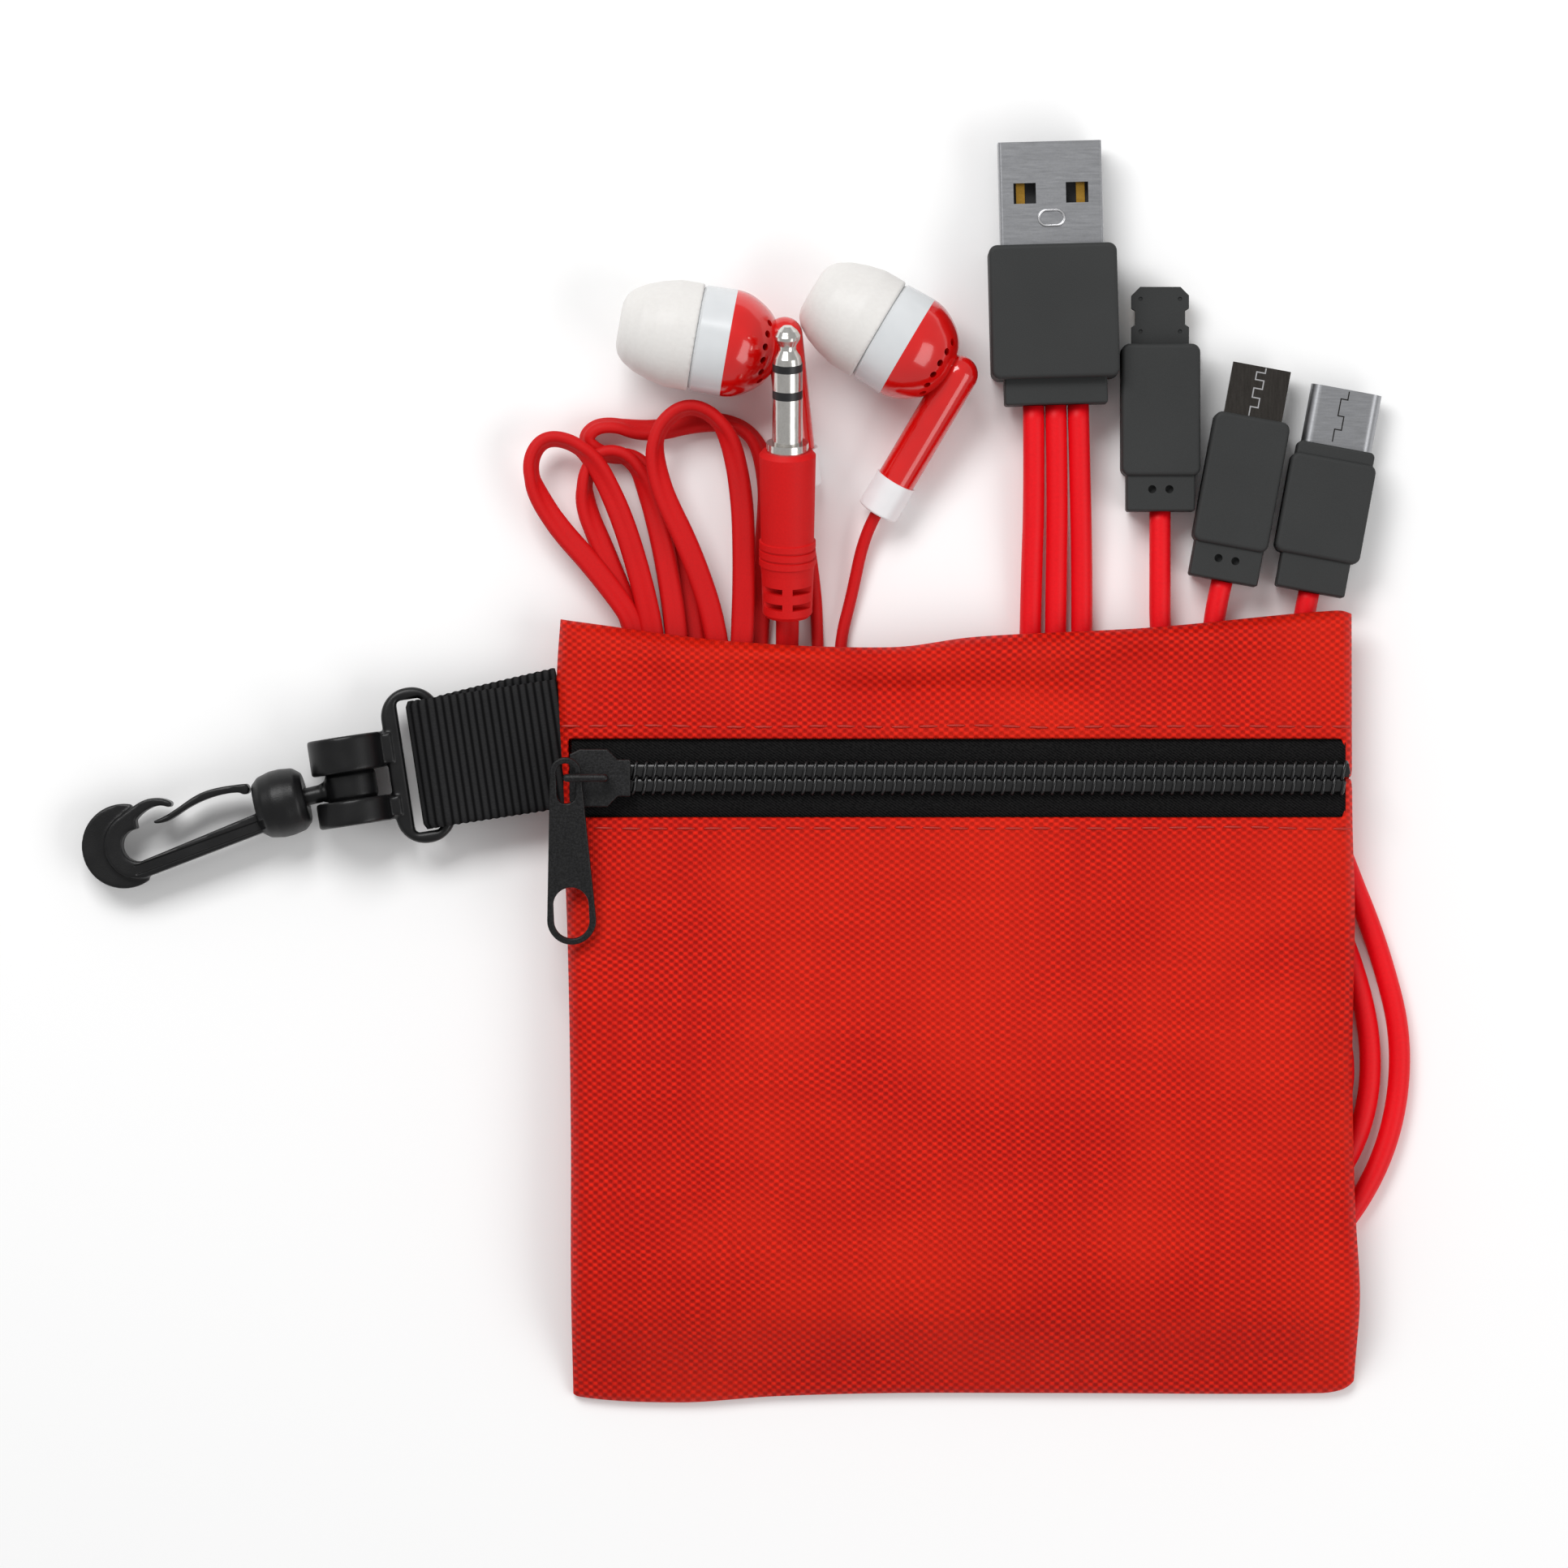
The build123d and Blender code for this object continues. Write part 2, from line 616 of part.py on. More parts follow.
def make_charging():
    """Three nested leads from the wide plug round to the three small plugs."""
    wide, blade, micro, both = plug_places.values()
    low = lead_d / 2
    starts = [(wide * Location((side * (lead_d + lead_gap), 0, 0))).position for side in (-1, 0, 1)]
    routes = {
        "charge_lead_c": (starts[0], both, [
            (8.9, 60, 3.5), (8.6, 51, 2.3), (8.4, 40, low), (8.0, 22, low), (8.6, 4, low),
            (12.0, -12.5, low), (19.5, -25.5, low), (31.0, -32.6, low), (42.5, -28.6, low),
            (50.1, -17.5, low), (52.3, -4.5, low), (49.3, 7.5, low), (44.8, 18.5, low),
            (41.4, 29.0, low), (39.8, 38.0, 1.5), (40.05, 44.6, 2.3),
        ]),
        "charge_lead_micro": (starts[1], micro, [
            (11.6, 60, 3.5), (11.5, 51, 2.3), (11.4, 40, low), (11.2, 23, low), (11.7, 6, low),
            (15.0, -9.5, low), (22.0, -20.8, low), (32.0, -26.6, low), (41.5, -23.4, low),
            (47.4, -14.5, low), (48.7, -4.0, low), (45.6, 8.0, low), (39.9, 19.0, low),
            (33.9, 29.5, low), (30.0, 38.0, 1.5), (29.55, 45.0, 2.3),
        ]),
        "charge_lead_blade": (starts[2], blade, [
            (14.3, 60, 3.5), (14.5, 51, 2.3), (14.5, 40, low), (14.5, 24, low), (15.0, 8.5, low),
            (18.0, -5.5, low), (24.0, -15.6, low), (32.0, -20.0, low), (39.6, -18.2, low),
            (44.6, -12.4, low), (45.5, -4.5, low), (42.0, 4.0, low), (36.0, 13.0, low),
            (29.5, 22.5, low), (25.2, 33.0, low), (23.6, 43.5, 1.9), (23.6, 51.5, 2.75),
        ]),
    }
    for name, (start, plug, points) in routes.items():
        lead(name, [start] + points + [plug.position], lead_d)
    make_wide_plug(wide)
    make_blade_plug(blade)
    make_micro_plug(micro)
    make_c_plug(both)


def plug_body(width, thick, length, tail, lip=0.0):
    """A moulded grip with a narrower tail; local +Y runs to the metal end, 0 at the tail's end."""
    grip = RectangleRounded(width, length - lip, 1.0)
    grip = Location((0, tail[2] + (length - lip) / 2, -thick / 2)) * extrude(grip, thick)
    grip = softened(grip, 0.5)
    if lip:
        edge = RectangleRounded(width - 0.9, lip + 1.5, 0.6)
        place = Location((0, tail[2] + length - (lip + 1.5) / 2, -thick / 2 + 0.45))
        grip = grip + place * softened(extrude(edge, thick - 0.9), 0.3)
    sleeve = block((-tail[0] / 2, tail[0] / 2), (0, tail[2] + 1), (-tail[1] / 2, tail[1] / 2))
    return grip + softened(sleeve, 0.3)


def tail_holes(body, tail):
    for x in (-1.0, 1.0):
        body = body - Location((x, 0.62 * tail[2], tail[1] / 2)) * Cylinder(0.475, 1.6)
    return body


def make_wide_plug(place):
    width, thick, length = wide_shell
    y0 = wide_tail[2] + wide_body[2]
    keep("wide_plug_body", place * plug_body(wide_body[0], wide_body[1], wide_body[2], wide_tail))
    case = block((-width / 2, width / 2), (y0, y0 + length), (-thick / 2, thick / 2))
    case = softened(case, 0.35, case.edges().filter_by(Axis.Y))
    half_room = width / 2 - shell_t
    high_room = thick / 2 - shell_t
    room = block((-half_room, half_room), (y0 - 1, y0 + length + 1), (-high_room, high_room))
    case = case - room
    for x in (-3.05, 3.05):
        case = case - Location((x, y0 + 6.0, 0)) * Box(2.6, 2.4, thick + 2)
    groove = SlotOverall(3.25, 2.1) - SlotOverall(2.65, 1.5)
    dimple = Location((0, y0 + 3.1, thick / 2 - 0.15)) * extrude(groove, 0.3)
    keep("wide_plug_shell", place * (case - dimple))
    tongue = block((-5.5, 5.5), (y0, y0 + length - 0.6), (shell_t - thick / 2, shell_t - thick / 2 + 1.9))
    keep("wide_plug_tongue", place * tongue)
    pads = []
    for x, long in ((-3.5, 8.6), (-1.0, 7.8), (1.0, 7.8), (3.5, 8.6)):
        high = shell_t - thick / 2 + 1.9
        pads.append(block((x - 0.5, x + 0.5), (y0 + 0.4, y0 + long), (high, high + 0.15)))
    keep("wide_plug_contacts", place * Compound(pads))


def make_blade_plug(place):
    width, thick, length = blade_size
    tail = (8.0, small_tail_t, 4.1)
    y0 = tail[2] + 15.4
    body = tail_holes(plug_body(9.2, small_body_t, 15.4, tail), tail)
    keep("blade_plug_body", place * body)
    half = width / 2
    edge = [(half, 0), (half, 2.0), (half - 0.45, 2.3), (half - 0.45, 3.9), (half, 4.2)]
    edge += [(half, length - 1.0), (half - 1.0, length)]
    outline = edge + [(-x, y) for x, y in reversed(edge)]
    blade = Location((0, y0, 0)) * flat(outline, -thick / 2, thick / 2)
    for x in (-2.3, 2.3):
        for y in (1.5, 5.3):
            blade = blade - Location((x, y0 + y, thick / 2)) * Cylinder(0.25, 0.4)
    keep("blade_plug_blade", place * blade)
    pads = []
    for step in range(8):
        x = -2.45 + 0.7 * step
        pads.append(block((x - 0.22, x + 0.22), (y0 + 2.6, y0 + 5.4), (-thick / 2 - 0.08, -thick / 2)))
    keep("blade_plug_contacts", place * Compound(pads))


def make_micro_plug(place):
    width, thick, length = micro_shell
    tail = (8.1, small_tail_t, 4.0)
    y0 = tail[2] + 15.4
    body = tail_holes(plug_body(8.9, small_body_t, 15.4, tail), tail)
    keep("micro_plug_body", place * body)
    half = width / 2
    section = [
        (-half, -0.1),
        (-half, thick / 2),
        (half, thick / 2),
        (half, -0.1),
        (half - 0.8, -thick / 2),
        (-half + 0.8, -thick / 2),
    ]
    outer = make_face(Polyline(*section, close=True))
    inner = offset(outer, amount=-0.25, kind=Kind.INTERSECTION)
    profile = Plane.XZ * (outer - inner)
    shell = Location((0, y0 + length, 0)) * extrude(profile, length)
    keep("micro_plug_shell", place * shell)
    keep("micro_plug_tongue", place * block((-1.9, 1.9), (y0, y0 + length - 0.9), (-0.2, 0.35)))


def make_c_plug(place):
    width, thick, length = c_shell
    tail = (8.1, small_tail_t, 4.0)
    y0 = tail[2] + 13.2
    keep("c_plug_body", place * plug_body(10.0, small_body_t, 13.2, tail, 1.4))
    outer = SlotOverall(width, thick)
    inner = SlotOverall(width - 0.6, thick - 0.6)
    shell = Location((0, y0 + length, 0)) * extrude(Plane.XZ * (outer - inner), length)
    shell = softened(shell, 0.12, shell.edges().sort_by(Axis.Y)[-4:])
    keep("c_plug_shell", place * shell)
    keep("c_plug_tongue", place * block((-3.3, 3.3), (y0, y0 + length - 1.2), (-0.33, 0.33)))


# ------------------------------------------------------------------ the whole kit
make_pouch()
make_zip()
make_slider()
make_tab()
make_strap()
make_clip_base()
make_swivel()
make_hook()
left_end, left_way = make_bud("left", bud_left_seam, bud_left_angle, 16.2, stem_left_d, -4.3, 11.4)
right_end, right_way = make_bud("right", bud_right_seam, bud_right_angle, 0, stem_right_d, -2.5, 14.2)
make_jack()
stowed_leads()
make_charging()

run_out = 3.0  # each lead's straight run out of its collar
for side, end, way, points in (
    ("left", left_end, left_way, [(-16.6, 49.5, 0.9), (-16.4, 44.5, 0.7), (-16.3, 40.0, 0.7)]),
    ("right", right_end, right_way, [(-12.4, 48.5, 1.0), (-13.6, 44.0, 0.7), (-13.8, 40.0, 0.7)]),
):
    lead(f"earphone_lead_{side}", [end, end + run_out * way] + points, bud_lead_d)

loose = [name for name in solids if "lead" in name or "hank" in name or name == "y_splitter"]
loose += [name for name in solids if name.startswith(("jack", "blade", "micro", "c_plug"))]
fixed = Compound([shape for name, shape in solids.items() if name not in loose]).bounding_box()
shift = Location((-(fixed.min.X + fixed.max.X) / 2, -(fixed.min.Y + fixed.max.Y) / 2, 0))
print("shift", shift.position, "box", fixed.size)

if __name__ == "__main__":
    os.makedirs("parts", exist_ok=True)
    for name, shape in solids.items():
        export_step(shift * shape, f"parts/{name}.step")
    print(len(solids), "nodes")
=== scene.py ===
import bpy
import bmesh
import math
import numpy as np
from bisect import bisect
from mathutils import Matrix, Vector, noise


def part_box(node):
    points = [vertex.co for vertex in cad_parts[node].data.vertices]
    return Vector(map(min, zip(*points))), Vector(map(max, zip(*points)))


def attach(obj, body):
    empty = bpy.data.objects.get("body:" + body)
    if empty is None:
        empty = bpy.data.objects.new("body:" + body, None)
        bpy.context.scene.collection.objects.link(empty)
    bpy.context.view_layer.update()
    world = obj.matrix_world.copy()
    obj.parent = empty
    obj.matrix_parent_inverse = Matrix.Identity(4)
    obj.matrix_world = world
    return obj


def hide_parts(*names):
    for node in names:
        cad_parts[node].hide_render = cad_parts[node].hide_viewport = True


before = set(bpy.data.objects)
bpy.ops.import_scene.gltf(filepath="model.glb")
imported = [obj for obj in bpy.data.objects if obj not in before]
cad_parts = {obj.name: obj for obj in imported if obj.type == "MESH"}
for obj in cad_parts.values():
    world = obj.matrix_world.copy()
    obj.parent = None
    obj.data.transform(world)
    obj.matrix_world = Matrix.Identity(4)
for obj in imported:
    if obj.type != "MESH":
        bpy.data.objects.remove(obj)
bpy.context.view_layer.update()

scene = bpy.context.scene
mm = 0.001
panelLow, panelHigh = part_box("pouch_back_panel")
midX = (panelLow[0] + panelHigh[0]) / 2
midY = (panelLow[1] + panelHigh[1]) / 2


def at(x, y, z=0.0):  # a place in millimetres from the middle of the pouch, on the table
    return Vector((midX + x * mm, midY + y * mm, z * mm))


def addPiece(name, data):
    piece = bpy.data.objects.new(name, data)
    scene.collection.objects.link(piece)
    return piece


def meshPiece(name, points, faces, smooth=True):
    data = bpy.data.meshes.new(name)
    data.from_pydata([tuple(point) for point in points], [], faces)
    data.polygons.foreach_set("use_smooth", [smooth] * len(faces))
    data.update()
    return addPiece(name, data)


def outwards(piece, merge=0.00001):  # one closed skin with its faces turned out
    shape = bmesh.new()
    shape.from_mesh(piece.data)
    bmesh.ops.remove_doubles(shape, verts=shape.verts, dist=merge)
    bmesh.ops.recalc_face_normals(shape, faces=shape.faces)
    shape.to_mesh(piece.data)
    shape.free()


def applied(piece):  # the piece with its modifiers worked into a plain mesh
    view = bpy.context.evaluated_depsgraph_get()
    done = bpy.data.meshes.new_from_object(piece.evaluated_get(view))
    piece.modifiers.clear()
    piece.data = done
    return piece


class Wire:  # a node's output that takes part in sums
    def __init__(self, tree, out):
        self.tree, self.out = tree, out

    def sum(self, kind, *values):
        return made(self.tree, "Math", {"operation": kind}, dict(enumerate(values)))

    def __add__(self, other):
        return self.sum("ADD", self, other)

    def __sub__(self, other):
        return self.sum("SUBTRACT", self, other)

    def __rsub__(self, other):
        return self.sum("SUBTRACT", other, self)

    def __mul__(self, other):
        return self.sum("MULTIPLY", self, other)

    def __truediv__(self, other):
        return self.sum("DIVIDE", self, other)

    __radd__ = __add__
    __rmul__ = __mul__

    def sin(self):
        return self.sum("SINE", self)

    def size(self):
        return self.sum("ABSOLUTE", self)

    def between(self, low, high):  # 0 below low, 1 above high
        return made(self.tree, "MapRange", {"interpolation_type": "SMOOTHSTEP"},
                    {"Value": self, "From Min": low, "From Max": high})


def made(tree, kind, settings, sockets, out=0):  # one shader node, its settings first
    node = tree.nodes.new("ShaderNode" + kind)
    for key, value in settings.items():
        setattr(node, key, value)
    for key, value in sockets.items():
        plug(tree, node.inputs[key], value)
    return Wire(tree, node.outputs[out])


def plug(tree, hole, value):
    if isinstance(value, Wire):
        tree.links.new(value.out, hole)
    else:
        hole.default_value = value


class Finish:  # a material on one principled shader
    def __init__(self, name, **fixed):
        self.material = bpy.data.materials.new(name)
        self.material.use_nodes = True
        self.tree = self.material.node_tree
        self.skin = self.tree.nodes["Principled BSDF"]
        for key, value in fixed.items():
            plug(self.tree, self.skin.inputs[key.replace("_", " ")], value)

    def node(self, kind, settings, sockets, out=0):
        return made(self.tree, kind, settings, sockets, out)

    def spot(self, scale=1000.0):  # where a point is, in millimetres
        where = self.node("TexCoord", {}, {}, "Object")
        return self.node("VectorMath", {"operation": "SCALE"}, {0: where, "Scale": scale})

    def axes(self, spot):
        return [self.node("SeparateXYZ", {}, {0: spot}, side) for side in "XYZ"]

    def cloud(self, spot, scale, detail=2.0, rough=0.5):
        return self.node("TexNoise", {}, {"Vector": spot, "Scale": scale, "Detail": detail,
                                          "Roughness": rough})

    def stretched(self, spot, by):
        return self.node("VectorMath", {"operation": "MULTIPLY"}, {0: spot, 1: by})

    def blend(self, part, first, second):
        return self.node("Mix", {"data_type": "RGBA"}, {"Factor": part, 6: first, 7: second}, 2)

    def dent(self, height, depth, strength=1.0):
        bump = self.node("Bump", {}, {"Height": height, "Distance": depth * mm, "Strength": strength})
        plug(self.tree, self.skin.inputs["Normal"], bump)

    def vary(self, key, value):
        plug(self.tree, self.skin.inputs[key], value)


def colour(r, g, b):  # a screen colour of 0 to 255 as the shader wants it
    parts = [(c / 255 / 12.92) if c < 11 else ((c / 255 + 0.055) / 1.055) ** 2.4 for c in (r, g, b)]
    return (*parts, 1.0)


studio = {"viewWidth": 182.3, "lens": 200.0, "viewX": -20.3, "viewY": 26.6, "focusZ": 7.0,
          "floorTone": 0.97, "worldTone": 0.46, "topPower": 2.8, "sidePower": 1.2,
          "sensor": 36.0, "floorSize": 3.0}
eyeHigh = studio["viewWidth"] * studio["lens"] / studio["sensor"] + studio["focusZ"]
lens = bpy.data.cameras.new("camera")
lens.lens = studio["lens"]
lens.sensor_width = studio["sensor"]
camera = addPiece("camera", lens)
camera.location = at(studio["viewX"], studio["viewY"], eyeHigh)
scene.camera = camera
scene.view_settings.view_transform = "Standard"

corners = ((-1, -1), (1, -1), (1, 1), (-1, 1))
floor = meshPiece("floor", [(x * studio["floorSize"], y * studio["floorSize"], -0.00002) for x, y in corners],
                  [(0, 1, 2, 3)])
floorLook = Finish("floorPaper", Roughness=0.9)
floorLook.vary("Base Color", (studio["floorTone"],) * 3 + (1.0,))
floor.data.materials.append(floorLook.material)

world = bpy.data.worlds.new("studio")
world.use_nodes = True
world.node_tree.nodes["Background"].inputs["Color"].default_value = (1, 1, 1, 1)
world.node_tree.nodes["Background"].inputs["Strength"].default_value = studio["worldTone"]
scene.world = world


def softbox(name, place, aim, width, power):
    lamp = bpy.data.lights.new(name, "AREA")
    lamp.shape = "RECTANGLE"
    lamp.size = width
    lamp.size_y = width * 0.6
    lamp.energy = power
    holder = addPiece(name, lamp)
    holder.location = place
    holder.rotation_euler = (aim - place).to_track_quat("-Z", "Y").to_euler()


softbox("keyLight", at(-220, 420, 520), at(-10, 20), 0.42, studio["topPower"])
softbox("fillLight", at(420, -160, 420), at(-10, 20), 0.5, studio["sidePower"])
print("camera, floor and lights set")

chargeCord = {"diameter": 2.5, "starts": [(8.8, 70.73, 4.0), (11.4, 70.8, 4.0), (14.0, 70.87, 4.0)]}
chargeRoutes = {
    "c": ((41.0, 49.0, 2.75), [
        (8.9, 60, 3.5), (8.6, 51, 2.3), (8.4, 40, 1.25), (8.0, 22, 1.25), (8.6, 4, 1.25), (12.0, -12.5, 1.25),
        (19.5, -25.5, 1.25), (31.0, -32.6, 1.25), (42.5, -28.6, 1.25),
        (50.1, -17.5, 1.25), (52.3, -4.5, 1.25),
        (49.3, 7.5, 1.25), (44.8, 18.5, 1.25), (41.4, 29.0, 1.25), (39.8, 38.0, 1.5), (40.05, 44.6, 2.3)]),
    "micro": ((30.85, 50.3, 2.75), [
        (11.6, 60, 3.5), (11.5, 51, 2.3), (11.4, 40, 1.25),
        (11.2, 23, 1.25), (11.7, 6, 1.25), (15.0, -9.5, 1.25),
        (22.0, -20.8, 1.25), (32.0, -26.6, 1.25), (41.5, -23.4, 1.25),
        (47.4, -14.5, 1.25), (48.7, -4.0, 1.25),
        (45.6, 8.0, 1.25), (39.9, 19.0, 1.25), (33.9, 29.5, 1.25), (30.0, 38.0, 1.5), (29.55, 45.0, 2.3)]),
    "blade": ((23.6, 58.4, 2.75), [
        (14.3, 60, 3.5), (14.5, 51, 2.3), (14.5, 40, 1.25),
        (14.5, 24, 1.25), (15.0, 8.5, 1.25), (18.0, -5.5, 1.25),
        (24.0, -15.6, 1.25), (32.0, -20.0, 1.25), (39.6, -18.2, 1.25),
        (44.6, -12.4, 1.25), (45.5, -4.5, 1.25),
        (42.0, 4.0, 1.25), (36.0, 13.0, 1.25), (29.5, 22.5, 1.25), (25.2, 33.0, 1.25), (23.6, 43.5, 1.9),
        (23.6, 51.5, 2.75)]),
}
budCord = {"diameter": 1.4}
budRoutes = {
    "left": [(-18.35, 61.46, 2.55), (-18.03, 58.56, 1.84),
             (-16.6, 49.5, 0.9), (-16.4, 44.5, 0.7), (-16.3, 40.0, 0.7),
             (-16.8, 20, 0.7), (-17.0, -5, 0.7), (-16.8, -25, 0.7), (-15.0, -32.2, 0.7), (-9.0, -32.2, 0.7),
             (-6.6, -25, 0.7), (-6.4, -5, 0.7), (-6.6, 15, 0.7), (-6.3, 28, 0.7), (-4.9, 33.4, 0.7),
             (-1.9, 33.4, 0.7), (-0.4, 28, 0.7), (-0.6, 12, 0.7),
             (-0.2, -8, 0.7), (0.9, -19, 1.2), (1.2, -24.5, 1.7)],
    "right": [(-9.40, 58.36, 2.55), (-10.9, 55.84, 1.94),
              (-12.4, 48.5, 1.0), (-13.6, 44.0, 0.7), (-13.8, 40.0, 0.7),
              (-14.3, 20, 0.7), (-14.5, -4, 0.7), (-14.2, -22, 0.7), (-13.2, -27.6, 0.7), (-9.8, -27.6, 0.7),
              (-8.6, -21, 0.7), (-8.9, -2, 0.7), (-8.7, 18, 0.7), (-8.9, 30, 0.7), (-6.5, 37.4, 0.7),
              (0.9, 37.6, 0.7), (3.7, 31, 0.7), (3.4, 14, 0.7),
              (3.6, -6, 0.7), (2.9, -18, 1.2), (2.6, -24.5, 1.7)],
}
mainCord = {"width": 2.7, "thick": 1.4, "lean": 1.15, "fullLeanAt": 160.0, "leanWindow": 31, "flatStart": 12}
mainRoute = [
    (1.9, -34.6, 1.7), (1.8, -37.4, 1.3), (-0.6, -40.6, 0.9), (-7, -40.4, 0.8), (-16, -38.6, 0.75),
    (-22.0, -33, 0.75),
    (-23.2, -18, 0.75), (-22.9, 5, 0.75), (-23.4, 28, 0.75), (-23.6, 44, 0.75),  # up, and behind the jack
    (-22.4, 54, 0.8), (-21.9, 62.5, 0.8), (-24.2, 68.4, 0.9), (-30, 69.2, 1.0), (-36, 67.6, 1.5),
    (-41.6, 68.9, 2.2), (-43.9, 66.9, 1.9), (-41.4, 64.9, 1.3), (-37.2, 65.0, 0.9), (-34.7, 60.5, 0.8),
    (-32.4, 53, 0.8),
    (-30.6, 44, 0.8), (-29.6, 26, 0.75), (-29.4, 4, 0.75), (-30.2, -12, 0.75),  # down
    (-31.6, -19.5, 0.75), (-36.5, -20.5, 0.75), (-38.2, -13, 0.75), (-37.4, 6, 0.75), (-37.0, 26, 0.75),
    (-36.6, 42, 1.6), (-41.0, 53, 2.3), (-44.2, 60.6, 2.4), (-42.2, 65.6, 2.5), (-37.6, 64.8, 2.5),
    (-34.9, 57, 2.3), (-33.1, 47, 2.2), (-32.2, 36, 2.2), (-32.0, 14, 2.2), (-32.6, -8, 2.2),  # second fold
    (-34.6, -24.0, 2.2), (-40.5, -25.0, 2.2), (-42.2, -12, 2.2), (-41.2, 10, 2.2), (-39.2, 30, 2.2),
    (-36.4, 43.5, 2.6), (-41.6, 51.0, 3.6), (-47.6, 57.6, 3.9), (-50.4, 63.4, 3.9), (-48.3, 67.4, 3.9),
    (-43.2, 65.8, 3.9), (-39.8, 59.4, 3.9), (-37.2, 51.5, 3.5), (-35.2, 42.4, 2.5), (-34.4, 26, 2.2),
    (-34.4, 4, 2.2), (-33.6, -14, 2.3),  # third fold, the large loop
    (-31.6, -20.5, 2.2), (-28.0, -19.6, 2.2), (-26.6, -8, 2.2), (-26.9, 14, 2.2), (-27.4, 32, 2.2),
    (-27.9, 44.0, 3.0), (-31.0, 53.5, 4.2), (-35.0, 61.5, 4.6), (-35.6, 67.6, 4.8), (-31.6, 71.2, 5.0),
    (-27.0, 68.6, 5.0), (-25.2, 61, 4.8), (-24.9, 52, 4.2), (-25.2, 43, 2.9), (-25.8, 26, 2.2),
    (-25.6, 2, 2.2), (-25.6, -15, 2.2), (-24.8, -27, 2.2), (-21.0, -28.5, 1.6), (-19.9, -18, 0.75),
    (-20.6, 2, 0.75), (-20.4, 24, 0.75), (-20.1, 38, 0.9), (-19.9, 43.0, 2.2), (-19.9, 46.3, 3.4)]


def routeLine(name, places):  # a smooth line that its control points steer
    data = bpy.data.curves.new(name, "CURVE")
    data.dimensions = "3D"
    data.resolution_u = 12
    line = data.splines.new("NURBS")
    line.points.add(len(places) - 1)
    for knot, place in zip(line.points, places):
        knot.co = (*at(*place), 1.0)
    line.order_u = 3
    line.use_endpoint_u = True
    return addPiece(name, data)


def readLine(curve):
    view = bpy.context.evaluated_depsgraph_get()
    read = bpy.data.meshes.new_from_object(curve.evaluated_get(view))
    places = [corner.co.copy() for corner in read.vertices]
    bpy.data.meshes.remove(read)
    return places


def lengthOf(places):
    return sum((b - a).length for a, b in zip(places, places[1:]))


def roundCord(name, places, diameter, sides=14):  # a mesh tube with rounded ends along the smooth line
    guide = routeLine(name + "Line", places)
    spine = readLine(guide)
    bpy.data.objects.remove(guide)
    turns = [2 * math.pi * k / sides for k in range(sides)]
    ring = [(math.cos(turn) * diameter / 2, math.sin(turn) * diameter / 2) for turn in turns]
    return tubeAlong(name, spine, lambda step: ring), spine


def tubeAlong(name, spine, ringAt, lean=None):
    points, faces = [], []
    for step, place in enumerate(spine):
        ahead = spine[min(step + 1, len(spine) - 1)] - spine[max(step - 1, 0)]
        ahead.normalize()
        side = ahead.cross(Vector((0, 0, 1))).normalized()
        if lean:
            side = Matrix.Rotation(lean[step], 3, ahead) @ side
        up = side.cross(ahead)
        ring = ringAt(step)
        points += [place + side * (x * mm) + up * (y * mm) for x, y in ring]
    count = len(ringAt(0))
    for step in range(len(spine) - 1):
        for k in range(count):
            a = step * count + k
            b = step * count + (k + 1) % count
            faces.append((a, b, b + count, a + count))
    faces.append(tuple(range(count - 1, -1, -1)))
    faces.append(tuple(range(len(points) - count, len(points))))
    piece = meshPiece(name, points, faces)
    outwards(piece)
    return piece


def flatCord(name, places):  # two strands side by side, standing up where the line turns hard
    guide = routeLine(name + "Line", places)
    spine = readLine(guide)
    bpy.data.objects.remove(guide)
    half = mainCord["thick"] / 2
    lobe = mainCord["width"] / 2 - half
    ring = []
    for k in range(-3, 4):
        turn = math.radians(42 * k)
        ring.append((lobe + half * math.cos(turn), half * math.sin(turn)))
    ring += [(-x, -y) for x, y in ring]
    bend = []
    for before, here, after in zip(spine, spine[1:], spine[2:]):
        run = (after - before).length / 2
        bend.append((here - before).angle(after - here, 0.0) / max(run, 0.0001))
    bend = np.array([bend[0], *bend, bend[-1]])
    steps = mainCord["leanWindow"]
    window = np.hanning(steps)
    soft = np.convolve(np.pad(bend, steps // 2, mode="edge"), window / window.sum(), mode="valid")
    lean = [mainCord["lean"] * min(1.0, value / mainCord["fullLeanAt"]) for value in soft]
    lean[:mainCord["flatStart"]] = [0.0] * mainCord["flatStart"]
    for place, tilt in zip(spine, lean):
        place.z = max(place.z, (half + lobe * math.sin(tilt)) * mm)
    return tubeAlong(name, spine, lambda step: ring, lean), spine


cords = {}
for start, (key, (end, places)) in zip(chargeCord["starts"], chargeRoutes.items()):
    piece, spine = roundCord(f"chargeCord_{key}", [start, *places, end], chargeCord["diameter"])
    cords[f"charge_{key}"] = piece
    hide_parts(f"charge_lead_{key}")
    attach(piece, "root")
    at(*start)
    lengthOf(spine)
for key, places in budRoutes.items():
    piece, spine = roundCord(f"budCord_{key}", places, budCord["diameter"], 10)
    cords[f"bud_{key}"] = piece
    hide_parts(f"earphone_lead_{key}")
    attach(piece, "root")
    at(*places[0])
    lengthOf(spine)
    print("branch cord", key, round(lengthOf(spine), 3), "m")
piece, spine = flatCord("mainCord", mainRoute)
cords["main"] = piece
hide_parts("earphone_main_hank", "earphone_branch_hank")
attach(piece, "root")
at(*mainRoute[0])
lengthOf(spine)
print("cords laid: main", round(lengthOf(spine), 3), "m")

